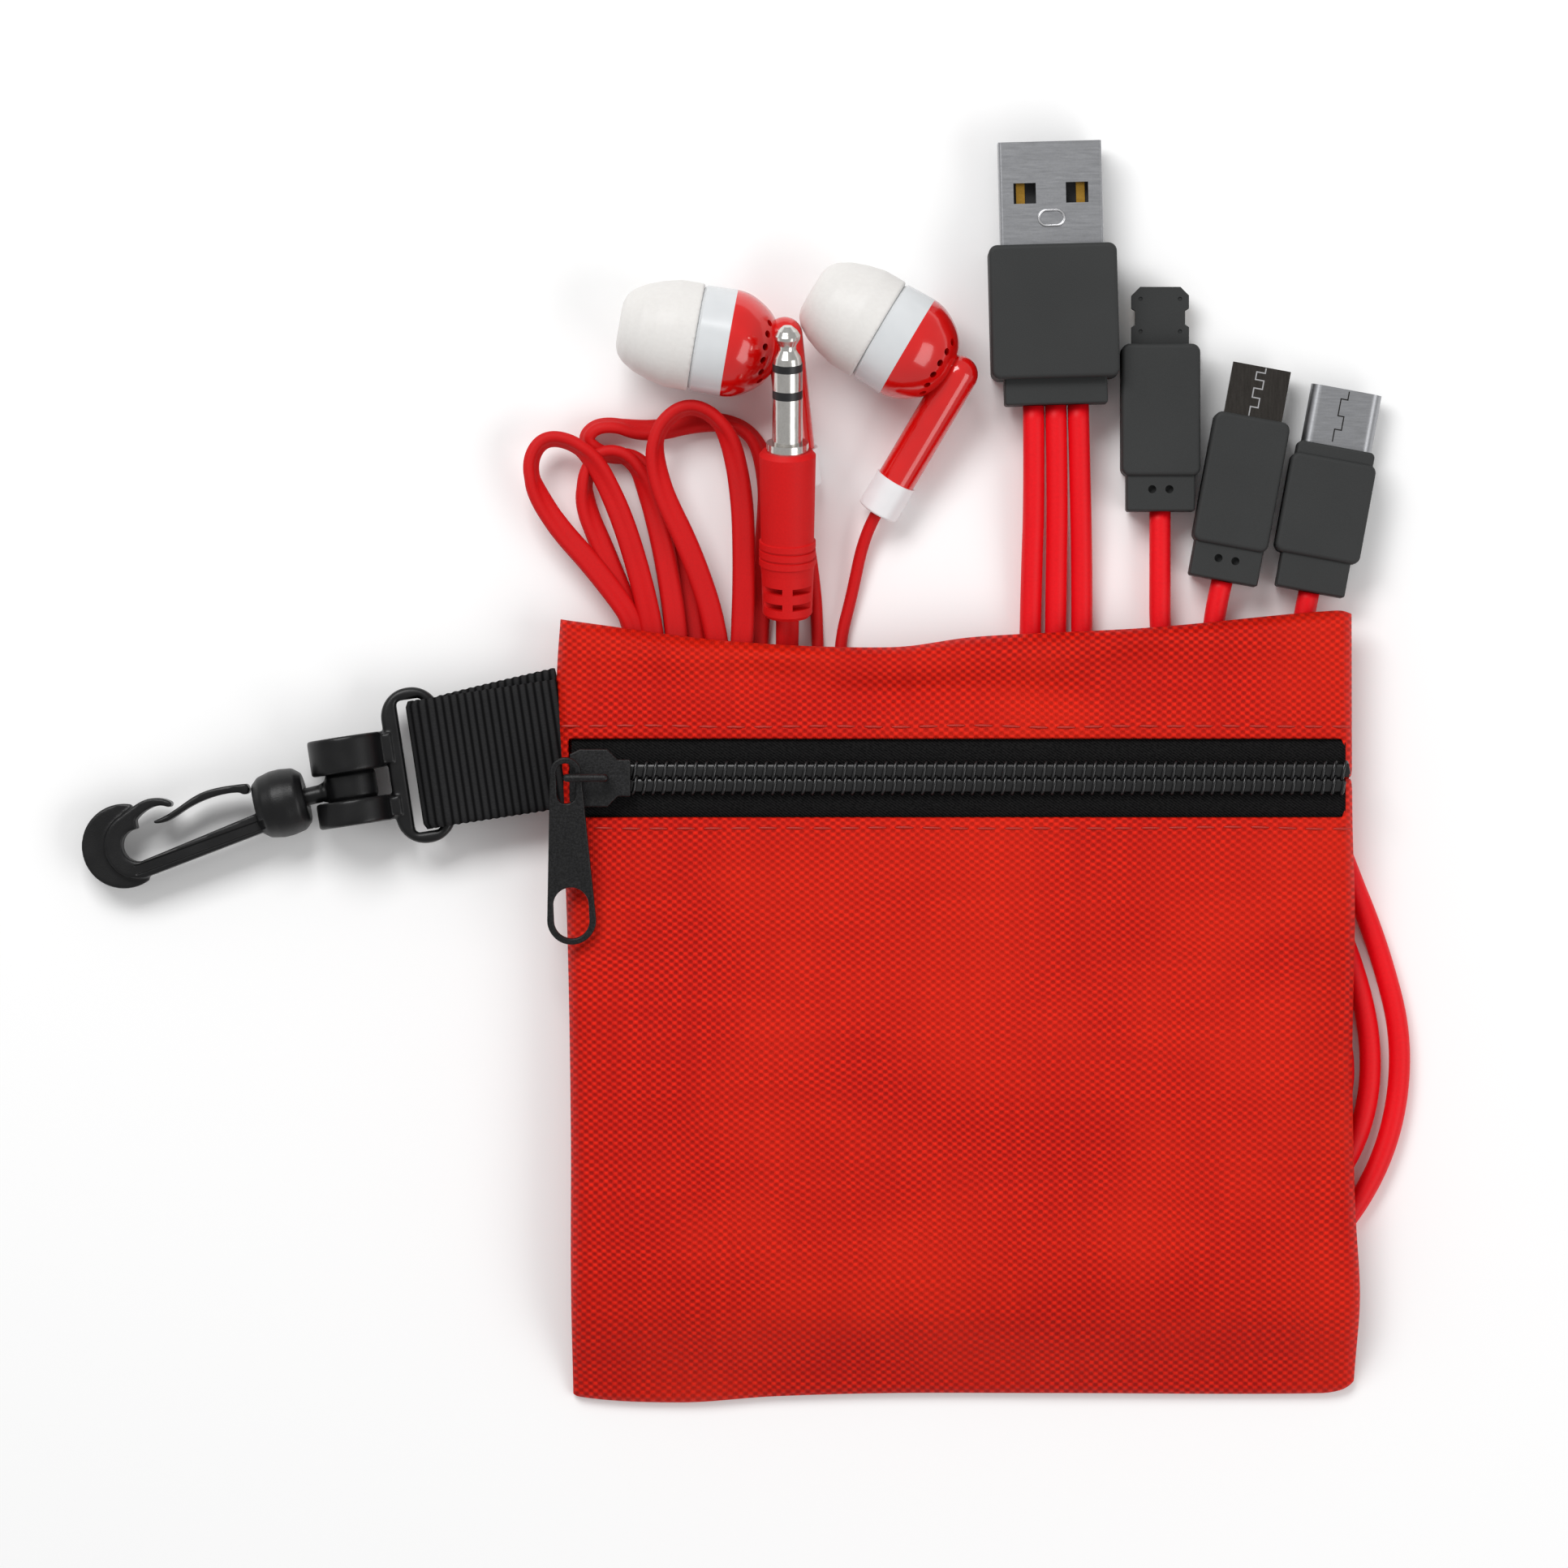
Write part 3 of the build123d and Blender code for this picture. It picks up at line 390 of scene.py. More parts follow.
pouch = {"front": 7.5, "back": 4.0, "edgeRound": 2.1, "bottomFall": 17.0, "backFall": 11.0, "backReach": -2.5,
         "bottomThick": 1.2, "hemRound": 1.2, "puff": 1.2, "zipLow": 22.8, "zipHigh": 31.8, "zipMid": 27.3,
         "zipEnd": 45.1, "cloth": 0.45, "step": 1.5, "halfWide": 46.3, "halfHigh": 45.15,
         "folds": ((-4, 38.2, 11, 1.3), (12, 37.4, 7, 1.1), (21, 40.8, 5, 0.9), (-22, 40.6, 6, 1.0),
                   (-34, 39.0, 6, 0.6), (33, 39.6, 8, 0.5))}  # x, y, half length, depth of each crease
topEdge = [(-46.6, 45.9), (-44.6, 45.6), (-26.5, 43.3), (-7.6, 42.6), (1.8, 43.8), (22.5, 44.9), (44.3, 46.9),
           (46.4, 46.3)]
bottomEdge = [(-46.0, -43.6), (-44.4, -45.1), (-32.2, -45.8), (-21.8, -45.1), (-7.6, -44.7), (11.2, -44.7),
              (43.4, -44.7), (45.6, -44.0), (47.0, -42.6)]
leftEdge = [(-45.5, -45.0), (-30, -45.2), (-14, -45.2), (9, -45.6), (27, -46.4), (37, -46.9), (46.5, -46.3)]
rightEdge = [(-45.5, 46.4), (-34.5, 46.9), (-22, 46.3), (-4.9, 46.0), (11, 46.3), (23, 46.0), (46.5, 45.9)]


def through(knots, x):  # a smooth line through a few (place, value) pairs
    last = len(knots) - 1
    i = max(1, min(last, bisect([knot[0] for knot in knots], x)))
    (x0, y0), (x1, y1) = knots[i - 1], knots[i]
    before = knots[max(i - 2, 0)]
    after = knots[min(i + 1, last)]
    span = x1 - x0
    t = max(0.0, min(1.0, (x - x0) / span))
    slope0 = (y1 - before[1]) / (x1 - before[0]) * span
    slope1 = (after[1] - y0) / (after[0] - x0) * span
    return ((2 * t ** 3 - 3 * t ** 2 + 1) * y0 + (t ** 3 - 2 * t ** 2 + t) * slope0
            + (3 * t ** 2 - 2 * t ** 3) * y1 + (t ** 3 - t ** 2) * slope1)


def ease(low, high, x):
    t = max(0.0, min(1.0, (x - low) / (high - low)))
    return t * t * (3 - 2 * t)


def pouchPlace(x, y):  # x and y of an even sheet, moved to the pouch's real outline
    left = through(leftEdge, y)
    right = through(rightEdge, y)
    realX = left + (x + pouch["halfWide"]) / (2 * pouch["halfWide"]) * (right - left)
    low = through(bottomEdge, realX)
    high = through(topEdge, realX)
    pull = ease(-20.0, -pouch["halfHigh"], y)
    lift = ease(33.5, pouch["halfHigh"], y)
    realY = y + (low + pouch["halfHigh"]) * pull + (high - pouch["halfHigh"]) * lift
    return realX, realY


def frontHeight(x, y):  # the front's height at a place of the even sheet
    side = min(x + pouch["halfWide"], pouch["halfWide"] - x)
    top = pouch["halfHigh"] - y
    bottom = y + pouch["halfHigh"]
    reach = pouch["edgeRound"]
    rise = 1.0
    for gap in (side, top):
        if gap < reach:
            rise = min(rise, math.sqrt(max(0.0, 1 - (1 - gap / reach) ** 2)))
    fall = ease(0.0, pouch["bottomFall"], bottom)
    base = pouch["back"] * ease(pouch["backReach"], pouch["backFall"], bottom)
    thick = pouch["bottomThick"] + (pouch["front"] - pouch["back"] - pouch["bottomThick"]) * fall
    if bottom < pouch["hemRound"]:
        rise = min(rise, math.sqrt(max(0.0, 1 - (1 - bottom / pouch["hemRound"]) ** 2)))
    fromZip = max(pouch["zipLow"] - y, y - pouch["zipHigh"])
    calm = ease(15.0, 32.0, fromZip) * ease(0.0, 9.0, side) * ease(0.0, 20.0, bottom)
    puff = pouch["puff"] * calm if y < pouch["zipMid"] else 0.0
    return base + thick * rise + puff + wrinkle(x, y, fromZip) * ease(0.0, 3.0, min(side, top, bottom))


def wrinkle(x, y, fromZip):
    near = ease(0.2, 3.5, fromZip)
    broad = noise.noise(Vector((x / 17, y / 26, 3.1))) * 0.55
    soft = broad + noise.noise(Vector((x / 8, y / 15, 7.7))) * 0.22
    pucker = noise.noise(Vector((x / 2.6, y / 9, 1.3))) * 0.16 * math.exp(-max(fromZip, 0.0) / 3.0)
    crease = 0.0
    if y > pouch["zipHigh"]:
        for cx, cy, wide, deep in pouch["folds"]:
            crease -= deep * math.exp(-((x - cx) / wide) ** 2 - ((y - cy) / 1.9) ** 2)
    else:
        soft *= 0.3 + 0.7 * ease(14.0, 28.0, fromZip)
    return near * (soft + crease) + pucker * ease(0.0, 0.8, fromZip)


def edgeSteps(low, high, step, round0, round1, size):  # even steps, closer where an edge turns over
    steps = []
    turns = [size * (1 - math.cos(math.radians(15 * k))) for k in range(6)]
    first = turns if round0 else [0.0]
    last = turns if round1 else [0.0]
    count = max(2, round((high - low - first[-1] - last[-1]) / step))
    steps += [low + gap for gap in first]
    inner = np.linspace(low + first[-1], high - last[-1], count + 1)[1:-1]
    steps += [float(value) for value in inner]
    steps += [high - gap for gap in reversed(last)]
    return steps


def clothPanel(name, rows, leaveOut):
    columns = edgeSteps(-pouch["halfWide"], pouch["halfWide"], pouch["step"], True, True, pouch["edgeRound"])
    points, faces = [], []
    for y in rows:
        for x in columns:
            realX, realY = pouchPlace(x, y)
            points.append(at(realX, realY, frontHeight(x, y)))
    wide = len(columns)
    for j in range(len(rows) - 1):
        for i in range(wide - 1):
            midOfX = (columns[i] + columns[i + 1]) / 2
            midOfY = (rows[j] + rows[j + 1]) / 2
            if leaveOut(midOfX, midOfY):
                continue
            a = j * wide + i
            faces.append((a, a + 1, a + 1 + wide, a + wide))
    piece = meshPiece(name, points, faces)
    shape = bmesh.new()
    shape.from_mesh(piece.data)
    bmesh.ops.delete(shape, geom=[v for v in shape.verts if not v.link_faces], context="VERTS")
    shape.to_mesh(piece.data)
    shape.free()
    thick = piece.modifiers.new("thick", "SOLIDIFY")
    thick.thickness = pouch["cloth"] * mm
    thick.offset = -1
    smooth = piece.modifiers.new("smooth", "SUBSURF")
    smooth.levels = smooth.render_levels = 1
    return applied(piece)


def inZip(x, y):
    return pouch["zipLow"] < y < pouch["zipHigh"] and abs(x) < pouch["zipEnd"]


lowRows = edgeSteps(-pouch["halfHigh"], pouch["zipLow"], pouch["step"], True, False, 1.6)
lowRows += [25.0, pouch["zipMid"]]
highRows = [pouch["zipMid"], 29.5]
highRows += edgeSteps(pouch["zipHigh"], pouch["halfHigh"], pouch["step"], False, True, pouch["edgeRound"])
lowerPanel = clothPanel("pouchFrontLower", lowRows, inZip)
upperPanel = clothPanel("pouchFrontUpper", highRows, inZip)


def backHeight(y):
    return pouch["back"] * ease(pouch["backReach"], pouch["backFall"], y + pouch["halfHigh"])


def makeBack():
    xs = list(np.linspace(-45.9, 45.9, 50))
    ys = list(np.linspace(-44.9, 44.9, 50))
    points = []
    for y in ys:
        for x in xs:
            realX, realY = pouchPlace(float(x), float(y))
            dip = 0.12 * noise.noise(Vector((x / 14, y / 18, 5.5)))
            points.append(at(realX, realY, backHeight(y) + 0.35 + dip))
    wide = len(xs)
    faces = [(j * wide + i, j * wide + i + 1, (j + 1) * wide + i + 1, (j + 1) * wide + i)
             for j in range(len(ys) - 1) for i in range(wide - 1)]
    piece = meshPiece("pouchBack", points, faces)
    thick = piece.modifiers.new("thick", "SOLIDIFY")
    thick.thickness = 0.35 * mm
    thick.offset = -1
    return applied(piece)


backPanel = makeBack()
for piece, node in ((lowerPanel, "pouch_front_lower_panel"), (upperPanel, "pouch_front_upper_panel"),
                    (backPanel, "pouch_back_panel")):
    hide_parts(node)
    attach(piece, "root")
print("pouch sewn")

zipChain = {"pitch": 1.16, "wire": 0.44, "wide": 2.5, "high": 0.9, "gap": -0.4, "from": -44.6, "to": 44.8,
            "tapeTop": 7.02, "seat": 7.46, "core": 0.34, "coreFlat": 4.6,
            "tapeGap": 0.17, "flap": 2.6, "tuck": 0.55}


def treeFor(name, sizes):  # an empty geometry tree with named number inputs
    tree = bpy.data.node_groups.new(name, "GeometryNodeTree")
    tree.interface.new_socket("Geometry", in_out="INPUT", socket_type="NodeSocketGeometry")
    for key, value in sizes.items():
        kind = "NodeSocketInt" if isinstance(value, int) else "NodeSocketFloat"
        tree.interface.new_socket(key, in_out="INPUT", socket_type=kind)
    tree.interface.new_socket("Material", in_out="INPUT", socket_type="NodeSocketMaterial")
    tree.interface.new_socket("Geometry", in_out="OUTPUT", socket_type="NodeSocketGeometry")
    return tree


def geo(tree, kind, settings, sockets):
    made = tree.nodes.new(kind)
    for key, value in settings.items():
        setattr(made, key, value)
    for key, value in sockets.items():
        if isinstance(value, bpy.types.NodeSocket):
            tree.links.new(value, made.inputs[key])
        else:
            made.inputs[key].default_value = value
    return made


def grown(name, tree, sizes, look, seed=None):  # runs the tree on an empty or given mesh, as a plain mesh
    piece = seed or meshPiece(name, [], [])
    work = piece.modifiers.new("grow", "NODES")
    work.node_group = tree
    values = {**sizes, "Material": look}
    for socket in tree.interface.items_tree:
        if socket.in_out == "INPUT" and socket.name in values:
            work[socket.identifier] = values[socket.name]
    return applied(piece)


def finishTree(tree, geometry, material):
    real = geo(tree, "GeometryNodeRealizeInstances", {}, {"Geometry": geometry})
    dressed = geo(tree, "GeometryNodeSetMaterial", {}, {"Geometry": real.outputs[0], "Material": material})
    end = tree.nodes.new("NodeGroupOutput")
    tree.links.new(dressed.outputs[0], end.inputs[0])


def coilTree():  # a wire wound in flattened turns round a flat core, laid along X
    sizes = {"Turns": 70.0, "Length": 0.08, "Wide": 0.001, "High": 0.0003, "Wire": 0.0003, "Core": 0.0003,
             "Flat": 3.0}
    tree = treeFor("coilTeeth", sizes)
    given = tree.nodes.new("NodeGroupInput").outputs
    winding = geo(tree, "GeometryNodeCurveSpiral", {}, {"Resolution": 14, "Rotations": given["Turns"],
                  "Start Radius": 1.0, "End Radius": 1.0, "Height": given["Length"]})
    flat = tree.nodes.new("ShaderNodeCombineXYZ")
    tree.links.new(given["High"], flat.inputs["X"])
    tree.links.new(given["Wide"], flat.inputs["Y"])
    flat.inputs["Z"].default_value = 1.0
    squashed = geo(tree, "GeometryNodeTransform", {}, {"Geometry": winding.outputs[0],
                   "Scale": flat.outputs[0]})
    laid = geo(tree, "GeometryNodeTransform", {}, {"Geometry": squashed.outputs[0],
               "Rotation": (0.0, math.pi / 2, 0.0)})
    ring = geo(tree, "GeometryNodeCurvePrimitiveCircle", {}, {"Resolution": 8, "Radius": given["Wire"]})
    swept = geo(tree, "GeometryNodeCurveToMesh", {}, {"Curve": laid.outputs[0],
                "Profile Curve": ring.outputs[0], "Fill Caps": True})
    start = geo(tree, "ShaderNodeCombineXYZ", {}, {"X": 0.0, "Y": 0.0, "Z": 0.0})
    end = geo(tree, "ShaderNodeCombineXYZ", {}, {"X": given["Length"], "Y": 0.0, "Z": 0.0})
    middle = geo(tree, "GeometryNodeCurvePrimitiveLine", {}, {"Start": start.outputs[0],
                 "End": end.outputs[0]})
    cord = geo(tree, "GeometryNodeCurvePrimitiveCircle", {}, {"Resolution": 12, "Radius": given["Core"]})
    body = geo(tree, "GeometryNodeCurveToMesh", {}, {"Curve": middle.outputs[0],
               "Profile Curve": cord.outputs[0], "Fill Caps": True})
    across = geo(tree, "ShaderNodeCombineXYZ", {}, {"X": 1.0, "Y": given["Flat"], "Z": 1.0})
    core = geo(tree, "GeometryNodeTransform", {}, {"Geometry": body.outputs[0], "Scale": across.outputs[0]})
    both = tree.nodes.new("GeometryNodeJoinGeometry")
    tree.links.new(swept.outputs[0], both.inputs[0])
    tree.links.new(core.outputs[0], both.inputs[0])
    smooth = geo(tree, "GeometryNodeSetShadeSmooth", {}, {"Geometry": both.outputs[0]})
    finishTree(tree, smooth.outputs[0], given["Material"])
    return tree


def moved(piece, place):
    piece.data.transform(Matrix.Translation(place))
    return piece


def tapeLook():
    look = Finish("zipTapeCloth", Roughness=0.95, Specular_IOR_Level=0.1)
    spot = look.spot()
    x, y, z = look.axes(spot)
    fuzz = look.cloud(look.stretched(spot, (3.2, 5.4, 3.0)), 1.0, 3.0, 0.7)
    rib = ((x * (2 * math.pi / 0.5) + y * (2 * math.pi / 0.34)).sin() * 0.25 + 0.5)
    height = fuzz * 0.75 + rib * 0.4
    # The colour follows the bump height: random fuzz tone, with painted shade in the low hollows and a
    # painted lighter top on the ribs and raised fuzz.
    look.vary("Base Color", look.blend(height.between(0.35, 0.85), colour(4, 4, 5), colour(34, 33, 33)))
    look.dent(height, 0.22, 0.8)
    return look.material


def coilLook():
    look = Finish("zipCoilNylon", Roughness=0.25, Specular_IOR_Level=0.55)
    tone = look.cloud(look.spot(), 1.3)
    look.vary("Base Color", look.blend(tone, colour(6, 6, 7), colour(20, 20, 21)))
    look.vary("Roughness", tone * 0.2 + 0.16)
    return look.material


tapeCloth = tapeLook()
coilNylon = coilLook()


def zipTape(name, node, inner, outer):
    rows = []
    seen = abs(outer - inner) - zipChain["flap"]
    for share in (0.0, 0.1, 0.25, 0.4, 0.6, 0.9, 1.05, 1.25, 1.0 + zipChain["flap"] / seen):
        rise = 0.1 * math.exp(-(share / 0.3) ** 2)
        tuck = zipChain["tuck"] * ease(0.85, 1.1, share)
        across = inner + math.copysign(seen * share, outer - inner)
        rows.append((across, zipChain["tapeTop"] - 0.06 + rise - tuck))
    xs = np.linspace(-45.0, 45.0, 92)
    points = [at(float(x), y, z + 0.05 * noise.noise(Vector((x / 5, y / 3, 2.2))))
              for y, z in rows for x in xs]
    wide = len(xs)
    faces = [(j * wide + i, j * wide + i + 1, (j + 1) * wide + i + 1, (j + 1) * wide + i)
             for j in range(len(rows) - 1) for i in range(wide - 1)]
    piece = meshPiece(name, points, faces)
    thick = piece.modifiers.new("thick", "SOLIDIFY")
    thick.thickness = 0.42 * mm
    thick.offset = -1 if outer > inner else 1
    applied(piece)
    outwards(piece)
    piece.data.materials.append(tapeCloth)
    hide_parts(node)
    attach(piece, "root")
    return piece


zipTape("zipTapeUpper", "zipper_tape_upper", pouch["zipMid"] + zipChain["tapeGap"],
        pouch["zipHigh"] + zipChain["flap"])
zipTape("zipTapeLower", "zipper_tape_lower", pouch["zipMid"] - zipChain["tapeGap"],
        pouch["zipLow"] - zipChain["flap"])

teethTree = coilTree()
for name, node, side in (("zipCoilUpper", "zipper_coil_upper", 1), ("zipCoilLower", "zipper_coil_lower", -1)):
    run = zipChain["to"] - zipChain["from"]
    inside = zipChain["wide"] - zipChain["wire"]
    piece = grown(name, teethTree, {"Turns": run / zipChain["pitch"], "Length": run * mm,
                  "Wide": side * inside / 2 * mm, "High": side * zipChain["high"] / 2 * mm,
                  "Wire": zipChain["wire"] / 2 * mm, "Core": zipChain["core"] / 2 * mm,
                  "Flat": zipChain["coreFlat"]}, coilNylon)
    offset = side * (zipChain["gap"] + zipChain["wide"] / 2)
    start = zipChain["from"] + (zipChain["pitch"] / 2 if side > 0 else 0.0)
    moved(piece, at(start, pouch["zipMid"] + offset, zipChain["seat"] + 0.1))
    outwards(piece, 0.000001)
    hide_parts(node)
    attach(piece, "root")
print("zip built")

stitching = {"pitch": 3.1, "long": 2.3, "thread": 0.34, "rowLow": 21.5, "rowHigh": 33.3, "sink": 0.02}


def stitchTree():  # short threads, end to end along a path
    tree = treeFor("stitchRow", {"Pitch": 0.003, "Long": 0.0022, "Thread": 0.0002})
    given = tree.nodes.new("NodeGroupInput").outputs
    path = geo(tree, "GeometryNodeMeshToCurve", {}, {"Mesh": given["Geometry"]})
    even = geo(tree, "GeometryNodeResampleCurve", {"mode": "LENGTH"}, {"Curve": path.outputs[0],
               "Length": given["Pitch"]})
    thread = geo(tree, "GeometryNodeMeshUVSphere", {}, {"Segments": 8, "Rings": 6, "Radius": 0.5})
    shape = tree.nodes.new("ShaderNodeCombineXYZ")
    tree.links.new(given["Thread"], shape.inputs["X"])
    tree.links.new(given["Thread"], shape.inputs["Y"])
    tree.links.new(given["Long"], shape.inputs["Z"])
    drawn = geo(tree, "GeometryNodeTransform", {}, {"Geometry": thread.outputs[0], "Scale": shape.outputs[0]})
    smooth = geo(tree, "GeometryNodeSetShadeSmooth", {}, {"Geometry": drawn.outputs[0]})
    along = tree.nodes.new("GeometryNodeInputTangent")
    turn = geo(tree, "FunctionNodeAlignEulerToVector", {"axis": "Z"}, {"Vector": along.outputs[0]})
    placed = geo(tree, "GeometryNodeInstanceOnPoints", {}, {"Points": even.outputs[0],
                 "Instance": smooth.outputs[0], "Rotation": turn.outputs[0]})
    finishTree(tree, placed.outputs[0], given["Material"])
    return tree


def pathMesh(name, places):
    data = bpy.data.meshes.new(name)
    data.from_pydata([tuple(place) for place in places], [(k, k + 1) for k in range(len(places) - 1)], [])
    return addPiece(name, data)


def threadLook():
    look = Finish("redThread", Roughness=0.5, Specular_IOR_Level=0.5)
    twist = look.cloud(look.spot(), 9.0)
    look.vary("Base Color", look.blend(twist, colour(118, 8, 2), colour(214, 40, 14)))
    return look.material


redThread = threadLook()
rowTree = stitchTree()
for name, rowY in (("stitchesLower", stitching["rowLow"]), ("stitchesUpper", stitching["rowHigh"])):
    places = []
    for x in np.linspace(-44.6, 44.8, 120):
        wander = 0.22 * noise.noise(Vector((x / 11, rowY, 4.4)))
        realX, realY = pouchPlace(float(x), rowY + wander)
        places.append(at(realX, realY, frontHeight(float(x), rowY + wander) + stitching["sink"]))
    piece = grown(name, rowTree, {"Pitch": stitching["pitch"] * mm, "Long": stitching["long"] * mm,
                  "Thread": stitching["thread"] * mm}, redThread, pathMesh(name, places))
    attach(piece, "root")
print("stitches sewn")

strap = {"wide": 15.0, "thick": 0.95, "rib": 0.9, "ribDeep": 0.13, "barX": 2.5, "loopR": 1.28, "clipX": -62.9,
         "clipY": 28.8, "clipZ": 4.4, "tilt": 8.7, "reach": 14.9,
         "rearShift": 1.3, "rise": 1.5, "topFall": 2.2,
         "slack": 1.4}
clipTurn = Matrix.Rotation(math.radians(strap["tilt"]), 4, "Z")


def clipAt(x, y, z):  # a place in the clip's own frame
    return at(strap["clipX"], strap["clipY"], strap["clipZ"]) + clipTurn @ Vector((x * mm, y * mm, z * mm))


def strapCourse():  # the webbing's middle from the pouch, round the bar and back
    radius = strap["loopR"] + strap["thick"] / 2
    climb = strap["rise"]
    course = []
    for k in range(70):
        part = k / 69
        course.append((strap["barX"] + strap["reach"] * (1 - part),
                       radius - strap["topFall"] * (1 - part) + climb * (1 - part) ** 1.5, 0.0))
    for k in range(1, 30):
        turn = math.pi * k / 30
        away = radius * strap["slack"] * math.sin(turn)
        course.append((strap["barX"] - away, radius * math.cos(turn), 0.0))
    for k in range(70):
        part = k / 69
        course.append((strap["barX"] + strap["reach"] * part, -radius + 0.3 * part + climb * part ** 1.5,
                       strap["rearShift"] * part ** 0.8))
    return course


def makeStrap():
    course = [Vector((x, z, shift)) for x, z, shift in strapCourse()]
    dense = []
    step = strap["rib"] / 9
    run = 0.0
    lengths = [0.0]
    for a, b in zip(course, course[1:]):
        lengths.append(lengths[-1] + (b.xy - a.xy).length)
    total = lengths[-1]
    while run < total:
        k = max(1, min(len(course) - 1, bisect(lengths, run)))
        part = (run - lengths[k - 1]) / max(lengths[k] - lengths[k - 1], 1e-6)
        dense.append((course[k - 1].lerp(course[k], part), run))
        run += step
    points, faces, ribCrownLight = [], [], []
    across = 26
    ring = 2 * across
    for k, (place, run) in enumerate(dense):
        ahead = dense[min(k + 1, len(dense) - 1)][0].xy - dense[max(k - 1, 0)][0].xy
        ahead.normalize()
        normal = Vector((-ahead.y, ahead.x))
        crown = abs(math.sin(math.pi * run / strap["rib"])) ** 0.7
        rib = strap["ribDeep"] * (crown - 0.5)
        for side in (1, -1):
            for j in range(across):
                share = j / (across - 1) if side > 0 else 1 - j / (across - 1)
                edge = min(share, 1 - share) * strap["wide"]
                half = strap["thick"] / 2 * min(1.0, 0.35 + edge / 0.5)
                ripple = rib * min(1.0, edge / 0.8)
                fray = 0.05 * math.sin(2 * math.pi * run / strap["rib"]) if edge < 0.01 else 0.0
                spread = place.xy + normal * side * (half + ripple)
                wide = (share - 0.5) * strap["wide"] + place.z + (fray if share > 0.5 else -fray)
                points.append(clipAt(spread.x, wide, spread.y))
                ribCrownLight.append(crown)
    for k in range(len(dense) - 1):
        for j in range(ring):
            a = k * ring + j
            b = k * ring + (j + 1) % ring
            faces.append((a, b, b + ring, a + ring))
    faces.append(tuple(range(ring)))
    faces.append(tuple(range(len(points) - ring, len(points))))
    piece = meshPiece("strapWebbing", points, faces)
    # Each point's rib crown is kept for the webbing's painted light: lighter crowns, with painted shade
    # between the ribs.
    piece.data.attributes.new("rib", "FLOAT", "POINT").data.foreach_set("value", ribCrownLight)
    outwards(piece)
    return piece


def webbingLook():
    look = Finish("blackWebbing", Roughness=0.85, Specular_IOR_Level=0.14)
    spot = look.spot()
    fuzz = look.cloud(look.stretched(spot, (2.5, 6.0, 4.0)), 1.0, 3.0, 0.65)
    crown = look.node("Attribute", {"attribute_name": "rib"}, {}, "Fac")
    # Painted light: the rib crowns are painted lighter and the troughs between ribs are painted with shade,
    # mixed with random fuzz.
    shade = crown.between(0.35, 1.0) * (fuzz * 0.6 + 0.4)
    look.vary("Base Color", look.blend(shade, colour(3, 3, 4), colour(46, 46, 47)))
    look.dent(fuzz, 0.1, 0.6)
    return look.material


strapPiece = makeStrap()
strapPiece.data.materials.append(webbingLook())
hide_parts("webbing_strap")
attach(strapPiece, "root")
print("strap folded")

moulding = {"grain": 0.16, "rounds": 6, "tipSwell": 0.12}


def moulded(name, node, body, look, swell=0.0):  # the CAD shape with edges as a mould rounds them
    shape = bmesh.new()
    shape.from_mesh(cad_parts[node].data)
    bmesh.ops.remove_doubles(shape, verts=shape.verts, dist=0.000002)
    data = bpy.data.meshes.new(name)
    shape.to_mesh(data)
    shape.free()
    piece = addPiece(name, data)
    skin = piece.modifiers.new("skin", "REMESH")
    skin.mode = "VOXEL"
    skin.voxel_size = moulding["grain"] * mm
    soften = piece.modifiers.new("soften", "SMOOTH")
    soften.factor = 0.5
    soften.iterations = moulding["rounds"]
    if swell:
        push = piece.modifiers.new("push", "DISPLACE")
        push.mid_level = 0.0
        push.strength = swell * mm
    applied(piece)
    piece.data.polygons.foreach_set("use_smooth", [True] * len(piece.data.polygons))
    piece.data.materials.clear()
    piece.data.materials.append(look)
    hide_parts(node)
    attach(piece, body)
    return piece


ribs = {"from": (-81.0, 21.9), "to": (-96.2, 16.4), "half": 0.62, "soft": 0.2, "deep": 0.3}


def plasticLook(name, ribbed):
    look = Finish(name, Roughness=0.4, Specular_IOR_Level=0.32)
    spot = look.spot()
    cloud = look.cloud(spot, 0.35, 3.0)
    grain = look.cloud(spot, 7.0, 2.0, 0.6)
    look.vary("Base Color", look.blend(cloud, colour(7, 7, 8), colour(20, 20, 21)))
    look.vary("Roughness", cloud * 0.22 + 0.24)
    if ribbed:  # two rims with a shallow channel between them, along the hook's shank
        x, y, z = look.axes(spot)
        start, end = at(*ribs["from"]) * 1000, at(*ribs["to"]) * 1000
        way = (end - start).normalized()
        along = (x - start.x) * way.x + (y - start.y) * way.y
        off = ((x - start.x) * way.y - (y - start.y) * way.x).size()
        rim = off.between(ribs["half"] - ribs["soft"], ribs["half"])
        long = (end - start).length
        inLength = along.between(-0.5, 0.5) * (1.0 - along.between(long - 1.0, long))
        look.dent(grain * 0.08 + (rim - 1.0) * inLength, ribs["deep"], 0.9)
    else:
        look.dent(grain, 0.02, 0.5)
    return look.material


blackPlastic = plasticLook("blackPlastic", False)
ribbedPlastic = plasticLook("ribbedPlastic", True)
clipBodies = {"clip_base_frame": "clip_base", "swivel_post": "swivel", "hook_body": "hook",
              "hook_gate": "gate"}
for node, body in clipBodies.items():
    look = ribbedPlastic if body == "hook" else blackPlastic
    moulded("moulded_" + node, node, body, look)
print("clip moulded")

# In weaving, gap is painted shade in the weave's hollows, and yarn is the red of the raised cells, painted
# lighter where they stand highest.
weaving = {"across": 1.16, "along": 0.88, "thread": 0.145, "relief": 0.2,
           "gap": (158, 9, 0), "yarn": (240, 32, 6), "streak": (178, 8, 0), "worn": (236, 46, 16)}


